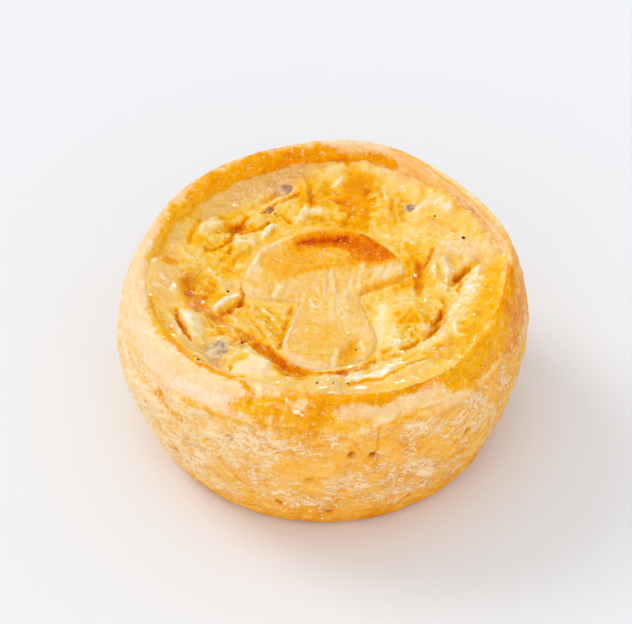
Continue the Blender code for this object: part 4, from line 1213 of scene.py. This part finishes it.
def mushroomReach(x, y):
    # distance in from the pastry mushroom's outline, negative outside it
    edge = mushroomEdge(mushroomLook)
    after = np.roll(edge, -1, 0)
    inside = np.zeros(x.shape, bool)
    nearest = np.full(x.shape, 1e6)
    for (startX, startY), (endX, endY) in zip(edge, after):
        crosses = (startY > y) != (endY > y)
        inside ^= crosses & (x < startX + (endX - startX) * (y - startY) / (endY - startY + 1e-12))
        nearest = np.minimum(nearest, (x - startX) ** 2 + (y - startY) ** 2)
    return np.where(inside, 1, -1) * np.sqrt(nearest)


def makeMushroom(look):
    edge = mushroomEdge(look)
    middle = np.array(look["middle"])
    share = (np.arange(1, look["rings"] + 1) / look["rings"])[:, None, None] ** 0.75
    plan = middle + (edge - middle) * share
    x, y = plan[..., 0], plan[..., 1]
    bed = mushroomBed(x, y)
    toEdge = (1 - share[..., 0]) * np.linalg.norm(edge - middle, axis=1) * 0.8
    inward = 1 - np.clip(toEdge / look["edgeRound"], 0, 1)
    top = bed + look["thickness"]
    for row in look["folds"]:
        top = top + row[5] * bump(x, y, *row[:5])
    across, down = looseFrame(x, y, top, 8, 1.1)
    pressRoutes(top, across, down, look["relief"])
    streaks = 0.5 - np.abs(softNoise(x, y / 4.5, 0, 1.5, 41)) * 1.6
    swells = layeredNoise(x, y, 0, 4.0, 3, 18)
    pimples = 0.45 - np.abs(layeredNoise(x, y, 0, 1.4, 2, 44))
    detail = look["streaks"] * streaks + look["pimples"] * pimples
    top = top - look["edgeRound"] * (1 - np.sqrt(1 - inward**2)) + look["swells"] * swells + detail
    under = bed + 0.1
    rows = np.stack([x, y, np.maximum(top, under + 0.2)], -1)
    lower = np.stack([x[-1], y[-1], under[-1]], -1)
    inner = np.stack([*(middle[:, None] + (edge - middle).T * 0.5), under[len(under) // 2]], -1)
    rows = keepInBox(np.concatenate([rows, lower[None], inner[None]]))[::-1]
    tone = look["plainTone"] + 0.05 * swells
    brushPaint(tone, across, down, look["tones"], 0.1, 1.9)
    tone = tone - 0.25 * detail - look["edgePaler"] * inward**2
    tone = np.concatenate([tone, tone[-1:], tone[-1:]])[::-1]
    return ringPiece("pastryMushroom", rows, {"tone": tone}, mushroomMaterial(look),
                     ["pastry_mushroom"])


def mushroomMaterial(look):
    material, tree, shader = startMaterial("glazedPastry")
    place = placeNode(tree)
    blotches, mottles, grains = [noiseNode(tree, place, *noise) for noise in look["noises"]]
    tone = addUp(tree, maskNode(tree, "tone"), (blotches, 0.36), (mottles, 0.4), (grains, 0.16))
    colour = rampNode(tree, tone, look["stops"])
    relief = addUp(tree, blotches, (mottles, 0.8), (grains, 0.4))
    finishSurface(tree, shader, look, gleam(tree, colour, place, look["gleamStart"]), relief)
    glaze(tree, shader, place, look["wetness"])
    return material


# Pieces of mushroom in the custard

pieceLook = {
    # name, x, y, underside, half length, half width, turn, thickness, greyness
    "pieces": [
        ("left", -25, -4, 39.6, 5.2, 2.3, 50, 2.2, 0.3),
        ("front_left", -26.6, -24.9, 41.9, 4.3, 3.7, 70, 3, 0.45),
        ("back_left", -10.4, 36.5, 41.6, 3.6, 1.9, -12, 2.4, 0.6),
        ("back_inner", -15, 28.6, 40.6, 2.2, 1.7, 20, 2.6, 0.7),
        ("back_right", 22.2, 28.8, 41.6, 2.9, 2.1, 10, 2.4, 0.5),
    ],
    "steps": 72,
    "rings": 26,
    "fibres": 0.4,
    "roughness": 0.35,
    "shine": 0.2,
    "bump": (0.4, 0.8),
    "wetness": 0.6,
    "noise": (0.9, 5, 0.65, 0.8),
    "stops": [
        (0.05, (244, 224, 184)), (0.3, (226, 196, 150)), (0.5, (204, 168, 128)), (0.7, (174, 136, 106)),
        (0.95, (126, 88, 60)),
    ],
    # 0 pale, 1 dark brown: tone, strength, half width, then the route in the picture's pixels
    "tones": [
        (0.15, 0.8, 3, 216, 308, 228, 299, 240, 292), (0.62, 0.8, 2.5, 214, 306, 226, 297),
        (0.8, 0.9, 2.4, 204, 347, 207, 346), (0.72, 0.9, 2, 215, 342, 218, 343),
        (0.75, 0.9, 2, 224, 352, 226, 354), (0.6, 0.8, 3.5, 213, 362, 220, 360),
        (0.1, 0.8, 1.4, 206, 354, 214, 350), (0.12, 0.8, 1.4, 209, 359, 219, 356),
        (0.75, 0.8, 4, 285, 189, 290, 187), (0.4, 0.7, 3, 274, 190, 279, 187),
        (0.9, 0.9, 2.5, 268, 209, 271, 208), (0.8, 0.9, 2.5, 408, 208, 411, 210),
    ],
}


def makePieces(look):
    finish = pieceMaterial(look)
    theta = np.linspace(0, math.tau, look["steps"], endpoint=False)
    for name, centreX, centreY, low, halfLength, halfWidth, turn, tall, grey in look["pieces"]:
        c, s = math.cos(math.radians(turn)), math.sin(math.radians(turn))
        torn = 1 - 0.12 * (1 + np.sin(3 * theta + centreX)) + 0.05 * np.sin(7 * theta + centreY)
        share = np.linspace(0.03, 1, look["rings"])[:, None]
        u = halfLength * share * torn * np.cos(theta)
        v = halfWidth * share * torn * np.sin(theta)
        x, y = centreX + u * c - v * s, centreY + u * s + v * c
        crown = np.sqrt(np.clip(1 - share**3.0, 0, 1))
        fibres = layeredNoise(u / 2.5, v, 0, 0.8, 3, 50)
        height = low + tall * (0.3 + 0.7 * crown) + look["fibres"] * fibres * crown
        rows = np.stack([x, y, height], -1)
        lower = np.stack([x[-1], y[-1], np.full(look["steps"], low)], -1)
        rows = np.concatenate([rows, lower[None]])
        tone = 0.4 + 0.4 * fibres + 0.25 * layeredNoise(x, y, 0, 2.4, 2, 53) + 0.5 * (grey - 0.5)
        across, down = looseFrame(x, y, height, 20, 1.0)
        brushPaint(tone, across, down, look["tones"])
        tone = np.clip(tone - 0.3 * share**2, 0, 1)
        tone = np.concatenate([tone, tone[-1:]])[::-1]
        ringPiece("mushroomPiece_" + name, keepInBox(rows)[::-1], {"tone": tone}, finish,
                  ["chanterelle_" + name])


def pieceMaterial(look):
    material, tree, shader = startMaterial("cookedMushroom")
    place = placeNode(tree)
    grains = noiseNode(tree, place, *look["noise"])
    tone = addUp(tree, maskNode(tree, "tone"), (grains, 0.6))
    colour = rampNode(tree, tone, look["stops"])
    finishSurface(tree, shader, look, colour, grains)
    glaze(tree, shader, place, look["wetness"])
    return material


# Pepper and loose flakes, lying where the picture shows them

grainLook = {
    # across and down in the picture's pixels, size in millimetres
    "pepper": [
        (228, 292, 0.75), (198, 360, 0.7), (280, 345, 0.55), (317, 383, 0.6), (333, 383, 0.5),
        (348, 384, 0.6), (356, 350, 0.55), (463, 238, 1), (435, 216, 0.6), (275, 214, 0.5), (224, 345, 0.5),
        (242, 343, 0.8),
    ],
    "flakes": [
        (297, 412, 2), (287, 400, 1), (285, 503, 1.2), (298, 504, 1.4), (308, 497, 1), (310, 511, 0.9),
        (281, 508, 0.7), (322, 518, 0.8), (302, 415, 1.1),
    ],
    # flatness, name and colours of the look, slot
    "pepperFinish": (0.8, "crushedPepper", (44, 34, 26), (96, 74, 52), "custard"),
    "flakesFinish": (0.45, "looseFlakes", (250, 214, 150), (255, 240, 208), "baked_pastry"),
    "rings": 7,
    "steps": 12,
    "narrow": 0.75,
    "dents": 0.35,
    "raised": 0.3,
    "roughness": 0.5,
    "shine": 0.25,
}


def pixelRay(across, down, look=cameraLook):
    # from the camera through a place in the picture, in metres
    _, _, back = framePlace(0, 0, 0)
    up = np.array([0, back[2], -back[1]])
    pixels = frameSize[0] * look["focalLength"] / look["sensorWidth"]
    way = -back * pixels + np.array([across - frameSize[0] / 2, 0, 0]) - (down - frameSize[1] / 2) * up
    return (np.array(look["target"]) + back * look["distance"]) * mm, way / np.linalg.norm(way)


def makeGrains(look, kind, surfaces):
    # irregular grains pressed a little into the surface below them
    flatness, name, dark, light, slotName = look[kind + "Finish"]
    trees = []
    for piece in surfaces:
        places = [vertex.co for vertex in piece.data.vertices]
        trees.append(BVHTree.FromPolygons(places, [face.vertices for face in piece.data.polygons]))
    dice = np.random.default_rng(11)
    points, faces = [], []
    lift = np.linspace(-1, 1, look["rings"] + 2)[1:-1][:, None] * math.pi / 2
    turn = np.linspace(0, math.tau, look["steps"], endpoint=False)
    for across, down, size in look[kind]:
        start, way = pixelRay(across, down)
        hits = [tree.ray_cast(start.tolist(), way.tolist()) for tree in trees]
        place, normal, _, _ = min((hit for hit in hits if hit[0]), key=lambda hit: hit[3])
        normal = np.array(normal) * (-1 if np.dot(normal, way) > 0 else 1)
        side = np.cross(normal, dice.normal(size=3))
        side /= np.linalg.norm(side)
        wide, deep = np.cos(lift) * np.cos(turn), look["narrow"] * np.cos(lift) * np.sin(turn)
        shape = np.stack([wide, deep, np.sin(lift) + 0 * turn])
        dents = layeredNoise(*shape + 9 * dice.random(3)[:, None, None], 0.9, 2, 60)
        shape = np.moveaxis(shape * (1 + look["dents"] * dents), 0, -1)
        axes = np.stack([side, np.cross(normal, side), flatness * normal])
        raised = normal * look["raised"] * flatness * size / 2
        body = np.array(place) / mm + (shape @ axes) * size / 2 + raised
        first = len(points)
        body = body.reshape(-1, 3)
        points.extend((body * mm).tolist())
        for ring in range(look["rings"] - 1):
            for step in range(look["steps"]):
                after = (step + 1) % look["steps"]
                low, high = first + ring * look["steps"], first + (ring + 1) * look["steps"]
                faces.append([low + step, low + after, high + after, high + step])
        top = first + (look["rings"] - 1) * look["steps"]
        faces.append([first + step for step in reversed(range(look["steps"]))])
        faces.append([top + step for step in range(look["steps"])])
    mesh = bpy.data.meshes.new(kind)
    mesh.from_pydata(points, [], faces)
    mesh.shade_smooth()
    mesh.materials.append(grainMaterial(look, name, dark, light))
    piece = bpy.data.objects.new(kind, mesh)
    bpy.context.scene.collection.objects.link(piece)
    dress(piece, [])
    print(f"quiche: {len(look[kind])} grains of {kind} laid down")


def grainMaterial(look, name, dark, light):
    material, tree, shader = startMaterial(name)
    grains = noiseNode(tree, placeNode(tree), 0.25, 3, 0.6)
    tree.links.new(rampNode(tree, grains, [(0.35, dark), (0.65, light)]), shader.inputs["Base Color"])
    shader.inputs["Roughness"].default_value = look["roughness"]
    shader.inputs["Specular IOR Level"].default_value = look["shine"]
    return material


# Floor and light

studioLook = {
    "floorSize": 3000.0,
    "floorDrop": 0.2,
    "floorRoughness": 0.7,
    "floorColour": (232, 233, 236),
    "skyColour": (0.985, 0.995, 1.0),
    "skyStrength": 0.83,
    "skyInGlaze": 0.08,
    # name, from where, strength, width in degrees
    "lights": [
        ("windowLight", (-0.85, 0.5, 0.95), 0.86, 26.0), ("fillLight", (-0.1, -1.0, 0.45), 0.75, 85.0),
    ],
    # lights that show only as glints in the glaze
    "glints": [
        ("glintLeft", (-0.85, 0.5, 0.7), 1.1, 4.0), ("glintBack", (0.1, 1.0, 0.25), 1.0, 4.0),
        ("glintAbove", (-0.2, 0.1, 1.0), 0.9, 4.0), ("glintRight", (0.8, 0.6, 0.7), 0.9, 4.0),
    ],
}


def makeStudio(look):
    half = look["floorSize"] / 2 * mm
    mesh = bpy.data.meshes.new("studioFloor")
    corners = [(-half, -half, 0), (half, -half, 0), (half, half, 0), (-half, half, 0)]
    mesh.from_pydata(corners, [], [(0, 1, 2, 3)])
    material, tree, shader = startMaterial("studioFloor")
    shader.inputs["Base Color"].default_value = (*fromScreen(*look["floorColour"]), 1)
    shader.inputs["Roughness"].default_value = look["floorRoughness"]
    shader.inputs["Specular IOR Level"].default_value = 0.0
    mesh.materials.append(material)
    floor = bpy.data.objects.new("studioFloor", mesh)
    floor.location = (0, 0, -look["floorDrop"] * mm)
    bpy.context.scene.collection.objects.link(floor)

    world = bpy.data.worlds.new("studioSky")
    world.use_nodes = True
    background = world.node_tree.nodes["Background"]
    background.inputs["Color"].default_value = (*look["skyColour"], 1.0)
    # the sky shows only faintly in the wet glaze, so that its colours stay deep
    tree, sky = world.node_tree, look["skyStrength"]
    glossy = tree.nodes.new("ShaderNodeLightPath").outputs["Is Glossy Ray"]
    strength = mathNode(tree, "MULTIPLY_ADD", glossy, sky * (look["skyInGlaze"] - 1), sky)
    tree.links.new(strength, background.inputs["Strength"])
    bpy.context.scene.world = world

    for name, (fromX, fromY, fromZ), brightness, width in look["lights"] + look["glints"]:
        light = bpy.data.lights.new(name, "SUN")
        light.energy = brightness
        light.angle = math.radians(width)
        lamp = bpy.data.objects.new(name, light)
        lamp.rotation_euler = (math.atan2(math.hypot(fromX, fromY), fromZ), 0, math.atan2(fromX, -fromY))
        lamp.visible_diffuse = not name.startswith("glint")
        lamp.visible_glossy = name.startswith("glint")
        bpy.context.scene.collection.objects.link(lamp)
    bpy.context.scene.view_settings.view_transform = "Standard"


makeStudio(studioLook)
surfaces = [makeCase(caseLook), makeCustard(custardLook), makeMushroom(mushroomLook)]
makePieces(pieceLook)
for kind in ("pepper", "flakes"):
    makeGrains(grainLook, kind, surfaces)

print("quiche: all pieces made")
